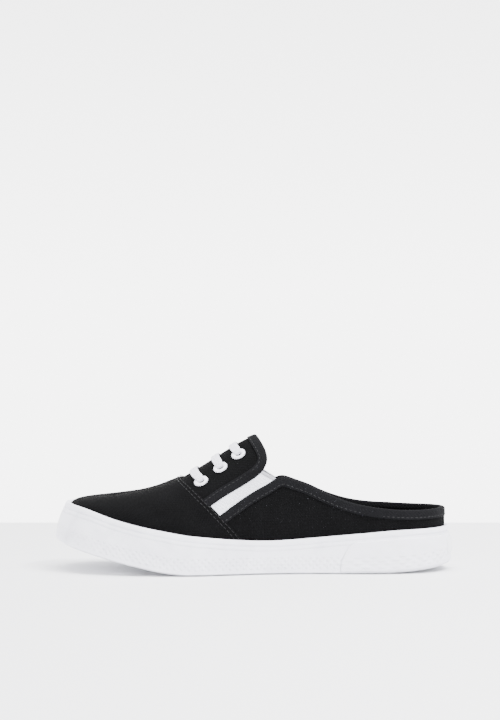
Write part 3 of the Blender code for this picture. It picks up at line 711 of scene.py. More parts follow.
def woven(name, dark, light, thread, depth, roughness, cloth=True, turn=0.0, streak=1.0, **extra):
    """Crossed threads: two sine waves across each other give the bump, fine noise tints single threads."""
    look, tree, shader = surface_look(name, dark, roughness, **extra)
    if cloth:
        place = add_node(tree, "ShaderNodeAttribute", {"attribute_name": "cloth"}).outputs["Vector"]
    else:
        place = add_node(tree, "ShaderNodeTexCoord").outputs["Object"]
    turned = add_node(tree, "ShaderNodeMapping", {"Rotation": (0.0, 0.0, turn), "Vector": place})
    turned = turned.outputs["Vector"]
    waves = [
        add_node(tree, "ShaderNodeTexWave", {
            "bands_direction": way, "Scale": wave_scale(thread), "Distortion": 0.6, "Detail": 1.0,
            "Detail Scale": 1.0, "Vector": turned}).outputs["Fac"]
        for way in ("X", "Y")
    ]
    crossed = maths(tree, "MULTIPLY", *waves)
    stretch = add_node(tree, "ShaderNodeMapping", {"Scale": (1.0, streak, 1.0), "Vector": turned})
    threads = add_node(tree, "ShaderNodeTexNoise", {
        "Scale": THREAD_NOISE / (thread * MM), "Detail": 3.0, "Roughness": 0.7,
        "Vector": stretch.outputs["Vector"]}).outputs["Fac"]
    patches = add_node(tree, "ShaderNodeTexNoise", {"Scale": PATCH_SCALE, "Detail": 3.0, "Vector": place})
    tint = maths(tree, "MULTIPLY_ADD", threads, THREAD_TINT,
                 maths(tree, "MULTIPLY", patches.outputs["Fac"], PATCH_TINT))
    height = maths(tree, "MULTIPLY_ADD", threads, THREAD_RELIEF, crossed)
    patterned(tree, shader, ramp(tree, tint, TINT_STOPS, (dark, light)), height, depth)
    return look


def knurled(tree, pitch, low, high):
    """Height of a diamond knurl: two slanted waves across each other, let in between two heights."""
    band = add_node(tree, "ShaderNodeAttribute", {"attribute_name": "cloth"}).outputs["Vector"]
    level = add_node(tree, "ShaderNodeSeparateXYZ", {"Vector": band}).outputs["Y"]
    waves = []
    for turn in (math.pi / 4, -math.pi / 4):
        turned = add_node(tree, "ShaderNodeMapping", {"Rotation": (0.0, 0.0, turn), "Vector": band})
        waves.append(add_node(tree, "ShaderNodeTexWave", {
            "Scale": wave_scale(pitch), "Vector": turned.outputs["Vector"]}).outputs["Fac"])
    above = add_node(tree, "ShaderNodeMapRange", {
        "From Min": low * MM, "From Max": (low + KNURL_EDGE) * MM, "Value": level})
    below = add_node(tree, "ShaderNodeMapRange", {
        "From Min": (high - KNURL_EDGE) * MM, "From Max": high * MM, "To Min": 1.0, "To Max": 0.0,
        "Value": level})
    mask = maths(tree, "MULTIPLY", above.outputs["Result"], below.outputs["Result"])
    return maths(tree, "MULTIPLY", maths(tree, "MULTIPLY", *waves), mask)


def moulded(name, colour, soiled, roughness, grain=0.35, knurl=None):
    """Moulded rubber: a fine matte grain, faint handling marks, and where asked a knurled band by height."""
    look, tree, shader = surface_look(name, colour, roughness)
    place = add_node(tree, "ShaderNodeTexCoord").outputs["Object"]
    height = add_node(tree, "ShaderNodeTexNoise", {
        "Scale": 1 / (grain * MM) / 4, "Detail": 2.0, "Vector": place}).outputs["Fac"]
    marks = add_node(tree, "ShaderNodeTexNoise", {
        "Scale": MARK_SCALE, "Detail": 6.0, "Roughness": 0.62, "Distortion": 0.4, "Vector": place})
    if knurl:
        height = maths(tree, "MULTIPLY_ADD", height, KNURL_GRAIN, knurled(tree, *knurl))
    patterned(tree, shader, ramp(tree, marks.outputs["Fac"], MARK_STOPS, (soiled, colour)), height,
              KNURL_DEPTH if knurl else GRAIN_DEPTH)
    return look


# Cotton duck canvas: a dry, dull black with paler lint on single threads; they are drawn at 0.9 mm, not 0.5
canvas = woven("cotton_canvas", "060606", "0e0e0f", 0.9, 0.22, 0.95, Specular_IOR_Level=0.04)
# Cotton twill tape: slanted ribs and a speckle that stands a shade paler than the canvas
twill = woven("cotton_twill_tape", "09090a", "151517", 0.8, 0.24, 0.9, turn=0.78, streak=2.5,
              Specular_IOR_Level=0.06)
# Sewing thread: polyester, black, with a slight gloss
thread_black = woven(
    "polyester_thread", "0a0a0b", "161618", 0.4, 0.05, 0.6, cloth=False, Specular_IOR_Level=0.3)
# Woven elastic: bright white with lengthwise ribs and soft grey between them
elastic = woven("woven_elastic", "c9c9d2", "f4f4fa", 1.0, 0.3, 0.8, streak=4.0)
# Folded end of the elastic: two layers of the same white elastic, drawn greyer as painted shade under the
# fold
elastic_hem_painted_shade = woven("elastic_hem_painted_shade", "8a8a90", "b9b9c0", 0.8, 0.15, 0.85)
# Flat cotton lace: off-white, fine plain weave
lace_cotton = woven("cotton_lace", "c8c6d2", "f2f1f8", 0.9, 0.22, 0.85)
# Enamelled brass eyelet: smooth white paint with a soft highlight
enamel = moulded("enamelled_brass", "eceaf2", "dcdae2", 0.32, grain=0.5)
# Vulcanised rubber of the side strip: clean bluish white, matte, with a knurled band low down
side_rubber = moulded("vulcanised_rubber", "f3f3fb", "e8e8f1", 0.5, knurl=(1.6, 3.0, 11.5))
# Heel layer of the same rubber, a touch greyer, with the same knurled band
heel_rubber = moulded("vulcanised_rubber_heel", "f1f1f9", "e9e9f0", 0.5, knurl=(1.6, 3.0, 11.5))
# Sole plate: rubber with scuffs where it treads
tread_rubber = moulded("tread_rubber", "dfe0e6", "b9b9be", 0.6)
# Bare label plate: slightly glossier rubber
label_rubber = moulded("label_rubber", "eeeff4", "e4e5ea", 0.38)
# Footbed cloth over foam: black plain weave, dull
footbed = woven("footbed_cloth", "080809", "141415", 0.8, 0.16, 0.95, Specular_IOR_Level=0.05)

# Soft troughs (-) and ridges (+) of the upper: start and end in side view as shares of length and instep,
# half width in millimetres, height in millimetres, and 1 for the lateral side, -1 for the medial, 0 for both
CREASES = [
    (0.215, 0.50, 0.300, 0.34, 5.0, -0.45, 1),
    (0.262, 0.56, 0.335, 0.35, 6.0, 0.35, 1),
    (0.300, 0.62, 0.385, 0.38, 5.0, -0.40, 1),
    (0.225, 0.52, 0.285, 0.33, 6.0, -0.40, -1),
    (0.290, 0.60, 0.360, 0.36, 6.0, 0.35, -1),
    (0.480, 0.30, 0.560, 0.52, 7.0, -0.40, 0),
    (0.640, 0.30, 0.620, 0.52, 9.0, 0.35, 0),
    (0.740, 0.34, 0.800, 0.42, 7.0, -0.30, 0),
]


CREASE_FADE = 1.5
SIDE_BLEND = 3.0


def creased(points, normals):
    """Points moved along their normals by the creases: each is a bell across its line, faded at its ends."""
    seen = side_view(points)
    total = np.zeros(points.shape[:-1])
    for s0, z0, s1, z1, half_width, high, side in CREASES:
        start = np.array([station(s0), z0 * INSTEP])
        run = np.array([station(s1), z1 * INSTEP]) - start
        size = np.linalg.norm(run)
        way = run / size
        off = seen - start
        at = off @ way
        across = off @ np.array([-way[1], way[0]])
        past = np.maximum(-at, 0) ** 2 + np.maximum(at - size, 0) ** 2
        bell = high * np.exp(-(across / half_width) ** 2) * np.exp(-past / (half_width * CREASE_FADE) ** 2)
        total += bell / (1 + np.exp(side * points[..., 1] / SIDE_BLEND)) if side else bell
    return points + normals * total[..., None]


def wall(columns, rows, offset):
    """A layer of the upper at an offset, with its creases; offset may vary over the layer."""
    normal = normal_at(columns, rows)
    return creased(on_grid(columns, rows, 0.0) + normal * np.asarray(offset)[..., None], normal)


# Fineness of the upper's sheets: rows, steps to either side of the toe, and the quarters' grid
SHEET_ROWS = 64
FRONT_STEPS = 110
QUARTER_STEPS = 420
QUARTER_ROWS = 34

# Front tucked under the vamp, and the columns that the quarters reach under it from their foot row
FLAP_TUCK = 1.0
QUARTER_TUCK = 26.0
QUARTER_FOOT = 3.0

# Vamp's folded edge: height at the rim, how fast it rises, columns to a millimetre, and height inside
ROLL_START = 0.35
ROLL_REACH = 0.8
ROLL_COLUMNS = 2.2
VAMP_LIFT = 0.08


def mirrored_rows(boundary):
    """Columns from the lateral boundary through the toe to the medial one, the same on the ridge."""
    lateral = boundary(ROWS, True)
    medial = boundary(ROWS, False)
    medial[-1] = COLUMNS - lateral[-1]
    t = np.linspace(-1, 1, 2 * FRONT_STEPS + 1)[None]
    reach = np.where(t < 0, lateral[:, None], (COLUMNS - medial)[:, None])
    return -t * reach


def front_boundary(rows, lateral):
    """Boundary of the front: of the panel's edge and the line tucked under the vamp the one further back."""
    further = np.maximum if lateral else np.minimum
    return further(panel_column(rows, TAPE + CUT_GAP, 0.0, lateral),
                   seam_column(rows, SEAM_LINE - (FLAP_TUCK, 0.0), 0.0, lateral))


ROWS = np.linspace(0, LAST_ROW, SHEET_ROWS)
row_grid = np.repeat(ROWS[:, None], 2 * FRONT_STEPS + 1, axis=1)

# Front of the upper: the wall under the vamp and the instep panel behind it, up to the tape's fold
columns = mirrored_rows(front_boundary)
upper_front = sheet(
    "upper_front", wall(columns, row_grid, 0.0), wall(columns, row_grid, -WALL), canvas, True)
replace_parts(upper_front, "upper")

# Vamp: a second layer ahead of the seam, its folded edge rolled down onto the panel
columns = mirrored_rows(lambda rows, lateral: seam_column(rows, SEAM_LINE, VAMP_STEP, lateral))
steps = np.arange(2 * FRONT_STEPS + 1)
edge = np.minimum(steps, steps[::-1]) / ROLL_COLUMNS
rolled = ROLL_START + (VAMP_STEP - ROLL_START) * (1 - np.exp(-edge / ROLL_REACH))
sheet("upper_vamp", wall(columns, row_grid, rolled[None] * np.ones_like(row_grid)),
      wall(columns, row_grid, VAMP_LIFT), canvas, True)

# Quarters and heel: one wall from under the vamp round the heel, up to the tape's fold
foot = np.array([QUARTER_FOOT])
around = np.linspace(seam_column(foot, SEAM_LINE, 0.0, True)[0] - QUARTER_TUCK,
                     seam_column(foot, SEAM_LINE, 0.0, False)[0] + QUARTER_TUCK, QUARTER_STEPS)
rows = np.linspace(0, 1, QUARTER_ROWS)[:, None] * quarter_row(around, TAPE + CUT_GAP, 0.0)[None]
columns = np.repeat(around[None], QUARTER_ROWS, axis=0)
sheet("upper_quarter", wall(columns, rows, 0.0), wall(columns, rows, -WALL), canvas)

# Section of a folded tape: a flat outer leg, a rolled fold over the cut edge and a flat inner leg
FACE = GAP + TAPE
BACK = -WALL - CUT_GAP - TAPE
FOLD = 1.2
COLLAR_STATIONS = 620
INSTEP_STATIONS = 241

# Where the tapes end ahead of the vamp seam, and where along the side the collar's end is looked for
TAPE_TUCK = 1.2
COLLAR_SEARCH = 0.15

# Pucker beside the stitches and slow sway of the outer leg: height and length of each wave
PUCKER = (0.05, 3.0)
SWAY = (0.06, 17.0)
MID_LEG = 4


def tape_section():
    """Outline of the folded tape as depth and offset, its corners eased and its outer leg a little full."""
    middle = (FACE + BACK) / 2
    half = (FACE - BACK) / 2
    turn = np.linspace(math.pi / 2, -math.pi / 2, 11)
    outer = [(TAPE_WIDTH + 0.12, GAP - 0.25), (TAPE_WIDTH + 0.1, FACE - 0.2), (TAPE_WIDTH - 0.25, FACE)]
    outer += [(TAPE_WIDTH * 0.62, FACE + 0.08), (TAPE_WIDTH * 0.35, FACE + 0.05)]
    outer += [(FOLD - FOLD * math.cos(a), middle + half * math.sin(a)) for a in turn]
    outer += [(TAPE_LINING * 0.6, BACK), (TAPE_LINING, BACK), (TAPE_LINING + 0.1, BACK + TAPE - 0.1)]
    inner = [(TAPE_LINING - 0.3, BACK + TAPE)]
    inner += [
        (FOLD - (FOLD - TAPE) * math.cos(a), middle + (half - TAPE) * math.sin(a)) for a in turn[::-1]
    ]
    return outer + inner + [(TAPE_WIDTH - 0.3, GAP)]


TAPE_SECTION = tape_section()


def puckered(rings):
    """A tape's outer leg moved by two sine waves along it: the pucker and the sway."""
    leg = rings[MID_LEG]
    run = np.cumsum(np.linalg.norm(np.diff(leg, axis=0, prepend=leg[:1]), axis=1))
    wave = np.sin(run / PUCKER[1] * 2 * math.pi) * PUCKER[0] + np.sin(run / SWAY[1]) * SWAY[0]
    strength = np.clip([(offset - GAP) / TAPE for depth, offset in TAPE_SECTION], 0.0, 1.0)
    way = unit(leg - rings[-1])
    return rings + way[None] * (strength[:, None] * wave[None])[..., None]


def collar_end(lateral):
    """The column where the quarter's edge runs under the vamp."""
    low = np.array([HALF * COLLAR_SEARCH if lateral else COLUMNS - HALF * COLLAR_SEARCH])
    return float(solved(low, [HALF], lambda column: behind(
        SEAM_LINE - (TAPE_TUCK, 0.0), on_grid(column, quarter_row(column, 0.0, FACE), FACE)))[0])


def panel_start(lateral):
    """The row where the panel's edge runs under the vamp."""
    return float(solved([2.0], [LAST_ROW], lambda row: behind(
        SEAM_LINE - (TAPE_TUCK, 0.0), on_grid(panel_column(row, 0.0, FACE, lateral), row, FACE)))[0])


collar_ends = (collar_end(True), collar_end(False))
panel_starts = (panel_start(True), panel_start(False))


def collar_line(depth, offset, stations):
    """Columns and rows of a line beside the quarter's edge, from seam to seam round the heel."""
    lateral, medial = collar_ends
    columns = lateral + (medial - lateral) * stations
    return columns, quarter_row(columns, depth, offset)


def panel_line(depth, offset, stations):
    """Columns and rows of a line inside the panel's edge, from seam over the ridge to seam."""
    half = len(stations) // 2
    up = panel_starts[0] + (LAST_ROW - panel_starts[0]) * stations[:half + 1] * 2
    down = panel_starts[1] + (LAST_ROW - panel_starts[1]) * (1 - stations[half:]) * 2
    lateral = panel_column(up, depth, offset, True)
    medial = panel_column(down, depth, offset, False)
    return np.concatenate([lateral, medial[1:]]), np.concatenate([up, down[1:]])


def tape(name, line, count):
    """A tape along an edge of the upper: every point of its section runs on its own line beside the edge."""
    stations = np.linspace(0, 1, count)
    rings = np.array([on_grid(*line(depth, offset, stations), offset) for depth, offset in TAPE_SECTION])
    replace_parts(swept(name, puckered(rings), twill), name)


tape("binding_collar", collar_line, COLLAR_STATIONS)
tape("binding_instep", panel_line, INSTEP_STATIONS)

# Elastic gores: ribbed bands between the two tapes, with a folded hem at the open end
GORE_THICK = 1.1
GORE_SINK = 0.15
GORE_TOP = 0.754
GORE_END = (0.5294, 0.562)
GORE_TUCK = 6.0
GORE_CLEAR = 0.5
GORE_STEPS = 61
GORE_RIBS = 9
RIB_STEPS = 8
RIB_HEIGHT = 0.14
EDGE_STEPS = 400

# Hem: width, fullness, thickness over the gore's, and how far its roll is turned at either end
HEM = 2.6
HEM_ROLL = 0.35
HEM_OVER = 0.25
HEM_TURN = 0.25


def stepped(points, count):
    """A polyline at even steps."""
    run = run_along(points)
    at = np.linspace(0, run[-1], count)
    return np.stack([np.interp(at, run, points[:, 0]), np.interp(at, run, points[:, 1])], -1)


def gore_side(edge, distance, end_x):
    """One long side of a gore in side view, from the seam to the gore's open end."""
    line = stepped(shifted(edge, distance), EDGE_STEPS)
    order = np.argsort(SEAM_LINE[:, 1])
    ahead = np.interp(line[:, 1], SEAM_LINE[order, 1], SEAM_LINE[order, 0]) - GORE_TUCK
    seen = (line[:, 0] > ahead) & (line[:, 0] < end_x) & (line[:, 1] < GORE_TOP * INSTEP)
    return stepped(line[seen], GORE_STEPS)


upper_side = gore_side(PANEL_LINE, GORE_CLEAR, station(GORE_END[0]))
lower_side = gore_side(QUARTER_LINE, -GORE_CLEAR, station(GORE_END[1]))
rib_rows = RIB_STEPS * GORE_RIBS + 1
across = np.linspace(0, 1, rib_rows)[:, None, None]
gore_seen = upper_side[None] * (1 - across) + lower_side[None] * across
ribs = RIB_HEIGHT * np.cos(np.linspace(0, 2 * math.pi * GORE_RIBS, rib_rows))[:, None]
ribs = ribs * np.ones((1, GORE_STEPS))
middle = gore_seen[rib_rows // 2]
hem_steps = max(int(HEM / np.linalg.norm(middle[1] - middle[0])), 3)
hem = (slice(RIB_STEPS // 2, rib_rows - RIB_STEPS // 2), slice(GORE_STEPS - 1 - hem_steps, GORE_STEPS))
roll = HEM_ROLL * np.sin(np.linspace(HEM_TURN, math.pi - HEM_TURN, hem_steps + 1))[None]
for side in ("lateral", "medial"):
    columns, rows = seen_at(gore_seen, side == "lateral", -GORE_SINK)
    gore = sheet("gore_" + side, on_grid(columns, rows, -GORE_SINK + ribs),
                 on_grid(columns, rows, -GORE_SINK - GORE_THICK), elastic)
    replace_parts(gore, "gore_" + side)
    # The hem's greyer colour is painted shade of the fold, not a different elastic
    sheet("gore_hem_" + side, on_grid(columns[hem], rows[hem], roll),
          on_grid(columns[hem], rows[hem], -GORE_SINK - GORE_THICK - HEM_OVER), elastic_hem_painted_shade)

# Laces: each bar's place on the ridge and its eyelet's, as shares of length and instep in side view
LACES = [
    (0.348, 0.745, 0.372, 0.672),
    (0.405, 0.840, 0.420, 0.769),
    (0.447, 0.934, 0.465, 0.865),
]

# Oval enamelled eyelets: half length, half width, hole, height of the flange and run of the oval
EYELET_LONG = 4.7
EYELET_WIDE = 4.1
EYELET_HOLE = 2.1
EYELET_HEIGHT = 0.9
EYELET_WAY = np.array([0.83, 0.0, 0.56])
EYELET_FOOT = -WALL - 0.5

# Lace: its gap over the panel, the hole's reach, and how far from it the lace rises over the flange
LACE_GAP = 0.5
LACE_HOLE = 1.3
FLANGE_REACH = 3.2
FLANGE_FADE = 2.0
# Where it dives into the hole: heights, shifts towards its bar, share of its width, and its tilt
DIVE = (0.6, -0.6, -2.0, -3.4)
DIVE_SHIFT = (0.5, 0.2, 0.1, 0.0)
DIVE_WIDTH = 0.66
DIVE_TILT = 0.25
# Its width at the hole and how far it takes to widen
MOUTH_WIDTH = 0.8
MOUTH_REACH = 1.5
# Runs inside: share of the lace's width and thickness, depth at the ends and in the middle
RUN_WIDTH = 0.85
RUN_THICK = 0.8
RUN_DEPTH = (0.9, 1.2)


def eyelet(name, place, normal):
    """A flanged ring: a rounded profile that fades into a barrel, turned about the normal on an oval."""
    way = unit(EYELET_WAY - normal * (EYELET_WAY @ normal))
    cross = np.cross(normal, way)
    curl = np.linspace(0, math.pi, 13)
    flange = [(0.5 - 0.5 * math.cos(a), EYELET_LIFT + EYELET_HEIGHT * math.sin(a) ** 0.8) for a in curl]
    profile = [(0.0, EYELET_FOOT)] + flange[:-1] + [(1.0, 0.05), (0.25, 0.02), (0.22, EYELET_FOOT)]
    turn = np.linspace(0, 2 * math.pi, 56, endpoint=False)
    rings = []
    for share, high in profile:
        long_size = EYELET_HOLE + (EYELET_LONG - EYELET_HOLE) * share
        wide_size = EYELET_HOLE + (EYELET_WIDE - EYELET_HOLE) * share
        flat = way * (long_size * np.cos(turn))[:, None] + cross * (wide_size * np.sin(turn))[:, None]
        rings.append(place + flat + normal * high)
    return swept(name, np.array(rings), enamel, loop=True)


def ribbon(name, centre, normals, width, thick):
    """A flat lace: a rounded section of a given width and thickness carried along a centre line."""
    run = unit(np.gradient(centre, axis=0))
    across_way = unit(np.cross(normals, run))
    up = np.cross(run, across_way)
    turn = np.linspace(0, 2 * math.pi, 21, endpoint=False)
    flat = np.sign(np.cos(turn)) * np.abs(np.cos(turn)) ** 0.35
    high = np.sign(np.sin(turn)) * np.abs(np.sin(turn)) ** 0.75
    wide = flat[:, None] * width / 2 * np.ones(len(centre))
    rings = centre[None] + across_way[None] * wide[..., None] + up[None] * (high * thick / 2)[:, None, None]
    field = np.stack([np.broadcast_to(run_along(centre), wide.shape), wide, 0 * wide], -1)
    return swept(name, rings, lace_cotton, field)


def smoothed(points, passes):
    """A line with its corners rounded by repeated averaging; its ends stay."""
    for _ in range(passes):
        points = points.copy()
        points[1:-1] = (points[:-2] + 2 * points[1:-1] + points[2:]) / 4
    return points


def lace_leg(column, row, bar, lateral):
    """Half of a lace: points, normals and share of width, from inside an eyelet up a side view line."""
    place = on_grid(column, row, 0.0)[0]
    normal = unit(normal_at(column, row)[0])
    rows = np.linspace(row[0], LAST_ROW, 60)
    columns = seam_column(rows, bar, 0.0, lateral)
    base = on_grid(columns, rows, 0.0)
    normals = unit(normal_at(columns, rows))
    reach = np.linalg.norm(base - place, axis=1)
    flange = np.exp(-(np.maximum(reach - FLANGE_REACH, 0) / FLANGE_FADE) ** 2)
    climb = LACE_GAP + (EYELET_HEIGHT + EYELET_LIFT) * flange
    keep = reach > LACE_HOLE
    bar_points = (base + normals * (climb + LACE_THICK / 2)[:, None])[keep]
    run_in = unit(bar_points[0] - place)
    dive = place + normal * np.array(DIVE)[:, None] + run_in * np.array(DIVE_SHIFT)[:, None]
    tilt = np.repeat(unit(normal * DIVE_TILT - run_in)[None], len(DIVE), axis=0)
    mouth = MOUTH_WIDTH + (reach[keep] - LACE_HOLE) / MOUTH_REACH * (1 - MOUTH_WIDTH)
    return (
        np.concatenate([dive[::-1], bar_points]),
        np.concatenate([tilt, normals[keep]]),
        np.concatenate([np.full(len(DIVE), DIVE_WIDTH), np.clip(mouth, MOUTH_WIDTH, 1.0)]),
    )


eyelet_at = {}
for number, (ridge_s, ridge_z, eye_s, eye_z) in enumerate(LACES, 1):
    ridge_at = np.array([station(ridge_s), ridge_z * INSTEP])
    eye_at = np.array([station(eye_s), eye_z * INSTEP])
    down = unit(eye_at - ridge_at)
    bar = stepped(np.stack([ridge_at - down * 30, ridge_at + down * 60]), 200)
    legs = []
    for side in ("lateral", "medial"):
        column, row = seen_at(eye_at[None], side == "lateral", 0.0)
        place = on_grid(column, row, 0.0)[0]
        name = f"eyelet_{side}_{number}"
        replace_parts(eyelet(name, place, unit(normal_at(column, row)[0])), name)
        eyelet_at[number, side] = np.array([column[0], row[0]])
        legs.append(lace_leg(column, row, bar, side == "lateral"))
    centre, normals, widths = [np.concatenate([near, far[::-1][1:]]) for near, far in zip(*legs)]
    lace = ribbon(f"lace_{number}", smoothed(centre, 3), unit(smoothed(normals, 6)), LACE_WIDTH * widths,
                  LACE_THICK)
    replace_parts(lace, f"lace_{number}")

# Inside the panel the lace runs from bar to bar along the lining
for name, first, side in (("lace_run_front", 1, "medial"), ("lace_run_back", 2, "lateral")):
    t = np.linspace(0, 1, 24)
    start, end = eyelet_at[first, side], eyelet_at[first + 1, side]
    columns, rows = start[:, None] + (end - start)[:, None] * t
    depth = -WALL - RUN_DEPTH[0] - RUN_DEPTH[1] * np.exp(-((t - 0.5) / 0.42) ** 8)
    ribbon(name, on_grid(columns, rows, depth), unit(normal_at(columns, rows)), LACE_WIDTH * RUN_WIDTH,
           LACE_THICK * RUN_THICK)

# Stitches: rounded bars of thread, with their gap and thread, and how far they lie from the edges
STITCH = 2.4
STITCH_GAP = 0.7
THREAD = 0.42
THREAD_LIFT = 0.02
TAPE_MARGIN = 1.3
VAMP_STITCHES = (2.0, 5.0)
# One bar: places along it, its fullness and its sink, the last two in radii of the thread
BAR_ALONG = np.array([-1.0, -0.85, -0.4, 0.4, 0.85, 1.0])
BAR_FULL = np.array([0.0, 0.6, 1.0, 1.0, 0.6, 0.0])
BAR_SINK = np.array([-0.9, -0.3, 0.25, 0.25, -0.3, -0.9])
BAR_SIDES = 6


def stitches(name, path, normals):
    """Rounded bars at even steps along a path: a six sided spindle is placed in each step's own frame."""
    run = run_along(path)
    count = int(run[-1] / (STITCH + STITCH_GAP))
    starts = (np.arange(count) + 0.5) / count * run[-1]

    def at(field, where):
        """The field at distances along the path."""
        return np.stack([np.interp(where, run, field[:, k]) for k in range(3)], -1)

    way = unit(at(path, starts + 0.5) - at(path, starts - 0.5))
    up = unit(at(normals, starts))
    turn = np.linspace(0, 2 * math.pi, BAR_SIDES, endpoint=False)
    high = (BAR_SINK[:, None] + BAR_FULL[:, None] * np.sin(turn)) * THREAD / 2
    wide = BAR_FULL[:, None] * np.cos(turn) * THREAD / 2
    points = (
        at(path, starts)[:, None, None]
        + way[:, None, None] * (BAR_ALONG[:, None, None] * STITCH / 2)
        + up[:, None, None] * high[..., None]
        + np.cross(up, way)[:, None, None] * wide[..., None]
    )
    r, c = np.meshgrid(np.arange(len(BAR_ALONG) - 1) * BAR_SIDES, np.arange(BAR_SIDES), indexing="ij")
    after = (c + 1) % BAR_SIDES
    one = np.stack([r + c, r + after, r + BAR_SIDES + after, r + BAR_SIDES + c], -1).reshape(-1, 4)
    faces = one[None] + (np.arange(count) * len(BAR_ALONG) * BAR_SIDES)[:, None, None]
    faces = faces.reshape(-1, 4).tolist()
    return linked(name, points.reshape(-1, 3), faces, thread_black, merge=True)


def stitched_line(name, columns, rows, offset):
    """Stitches along a line of columns and rows at an offset."""
    normals = normal_at(columns, rows)
    stitches(name, creased(on_grid(columns, rows, offset + THREAD_LIFT), normals), normals)


tape_line = TAPE_WIDTH - TAPE_MARGIN
stitched_line("stitch_collar", *collar_line(tape_line, FACE, np.linspace(0.004, 0.996, 900)), FACE)
stitched_line("stitch_instep", *panel_line(tape_line, FACE, np.linspace(0.01, 0.99, 401)), FACE)
seam_rows = np.linspace(1.2, LAST_ROW, 260)
for number, ahead in enumerate(VAMP_STITCHES, 1):
    lateral, medial = [
        seam_column(seam_rows, SEAM_LINE - (ahead, 0.0), VAMP_STEP, side) for side in (True, False)
    ]
    stitched_line(f"stitch_vamp_{number}", np.concatenate([lateral, medial[::-1][1:]]),
                  np.concatenate([seam_rows, seam_rows[::-1][1:]]), VAMP_STEP)

# Heel strip: a narrow band up the back seam, tucked under the collar tape
# Half width in columns, grid, tuck under the tape, thickness, what its edges lose, and height underneath
BAND_HALF = 4.5
BAND_COLUMNS = 19
BAND_ROWS = 24
BAND_TUCK = 1.5
BAND_THICK = 0.55
BAND_ROUND = 0.4
BAND_LIFT = 0.02
columns = HALF + np.linspace(-BAND_HALF, BAND_HALF, BAND_COLUMNS)
top = quarter_row(columns, TAPE_WIDTH - BAND_TUCK, 0.6)
rows = np.linspace(0, 1, BAND_ROWS)[:, None] * top[None]
columns = np.repeat(columns[None], BAND_ROWS, axis=0)
crown = BAND_THICK - BAND_ROUND * np.abs(np.linspace(-1, 1, BAND_COLUMNS)) ** 6
sheet("heel_strip", on_grid(columns, rows, crown[None] * np.ones_like(rows)),
      on_grid(columns, rows, BAND_LIFT * np.ones_like(rows)), twill)

# Side strip of the sole: lip, pinstripe groove and drafted face, carried round the outline
LIP = 3.1
PINSTRIPE = 0.9
STRIP_BASE = 1.0
STRIP_COLUMNS = 360
# Rounded foot of the strip, its rounded top, and the toe's swelling with how far round it goes
FOOT_ROUND = (0.5, 0.7)
TOP_ROUND = 0.7
LIP_OUT = 0.2
TOE_SWELL = 1.7
TOE_SWELL_TURN = 0.6
# Height of the band below the pinstripe that the profile's even rows stop short of
PROFILE_STOP = 3.3
# Two pinstripe grooves and the lip: height from the groove's lower edge, and distance out
PROFILE_TOP = [
    (-3.05, 0.0), (-2.95, -0.28), (-2.6, -0.28), (-2.5, 0.02), (-1.2, 0.08), (-0.2, 0.08), (0.0, -0.45),
    (0.15, -0.6), (0.75, -0.6), (0.9, -0.45), (1.05, 0.12), (1.3, 0.2), (2.0, 0.22), (2.6, 0.22),
]


def strip_profile(top):
    """The strip's section round its foot, up its face and lip and over its top: distance out and height."""
    ones = np.ones(len(top))
    wide, tall = FOOT_ROUND
    groove = top - LIP - PINSTRIPE
    foot = STRIP_BASE + tall
    profile = [(-FOXING_WALL, STRIP_BASE * ones), (-wide, STRIP_BASE * ones)]
    for a in np.linspace(0, math.pi / 2, 5):
        profile.append((-wide + wide * math.sin(a), (foot - tall * math.cos(a)) * ones))
    for t in np.linspace(0.12, 1, 8):
        profile.append((0.0, foot + (groove - PROFILE_STOP - foot) * t))
    profile += [(out, groove + up) for up, out in PROFILE_TOP]
    for a in np.linspace(0, math.pi / 2, 6):
        profile.append((LIP_OUT - TOP_ROUND * (1 - math.cos(a)), top - TOP_ROUND * (1 - math.sin(a))))
    return profile + [(-FOXING_WALL + 0.5, top), (-FOXING_WALL + 0.15, top - 0.12), (-FOXING_WALL, top - 0.5)]


turn = full_turn(STRIP_COLUMNS)
top = strip_height(turn)
profile = strip_profile(top)
swell = TOE_SWELL * np.exp(-(toe_turn(turn) / TOE_SWELL_TURN) ** 2)
rings = np.array([
    side_point(turn, high, out + (out > -1.0) * swell * np.sin(math.pi * np.clip(high / top, 0, 1)))
    for out, high in profile
])
at = run_along(rings[5])
field = np.array([np.stack([at, high, 0 * at], -1) for out, high in profile])
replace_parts(swept("foxing", rings, side_rubber, field, loop=True), "foxing")

# Heel layer over the strip, its front edge running up into the pinstripe, and the bare plate on it
HEEL_FRONT = [
    (0.716, 0.055),
    (0.717, 0.18),
    (0.719, 0.30),
    (0.727, 0.48),
    (0.738, 0.65),
    (0.756, 0.77),
]
# Heel layer: thickness, gap to the strip, drop below the pinstripe, what a rounded face loses, grid, rounding
HEEL_LAYER = 0.6
LAYER_GAP = 0.05
LAYER_DROP = 0.7
LAYER_SPARE = 0.3
HEEL_GRID = (26, 240)
HEEL_ROUND = 0.35
# Label plate: thickness, width, heights of its edges, grid, rounding, and how far its corners are drawn in
LABEL_THICK = 0.7
LABEL_WIDTH = 22.0
LABEL_LOW = 7.0
LABEL_HIGH = 18.0
LABEL_GRID = (16, 60)
LABEL_ROUND = 0.4
LABEL_CORNER = 0.06


def rounded_patch(name, low, high, starts, ends, inner, outer, look, grid, round_off):
    """A layer on the side strip from height low to high; its outer face eases down round the rim."""
    t = np.linspace(0, 1, grid[0])[:, None]
    s = np.linspace(0, 1, grid[1])[None]
    angle = starts[:, None] * (1 - s) + ends[:, None] * s
    height = low + (high(angle) - low) * t
    half = LENGTH * 0.5 * (ends - starts)[:, None] / 2
    rim_gap = np.minimum(np.minimum(t, 1 - t) * (height.max() - low), np.minimum(s, 1 - s) * half)
    out = inner + (outer + LAYER_SPARE - inner) * (1 - np.exp(-rim_gap / round_off))
    at = angle * BALL_WIDTH * 0.5
    field = np.stack([at, height, 0 * at], -1)
    front = side_point(angle, height, out)
    back = side_point(angle, height, inner + 0 * out)
    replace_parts(sheet(name, front, back, look, field=field), name)


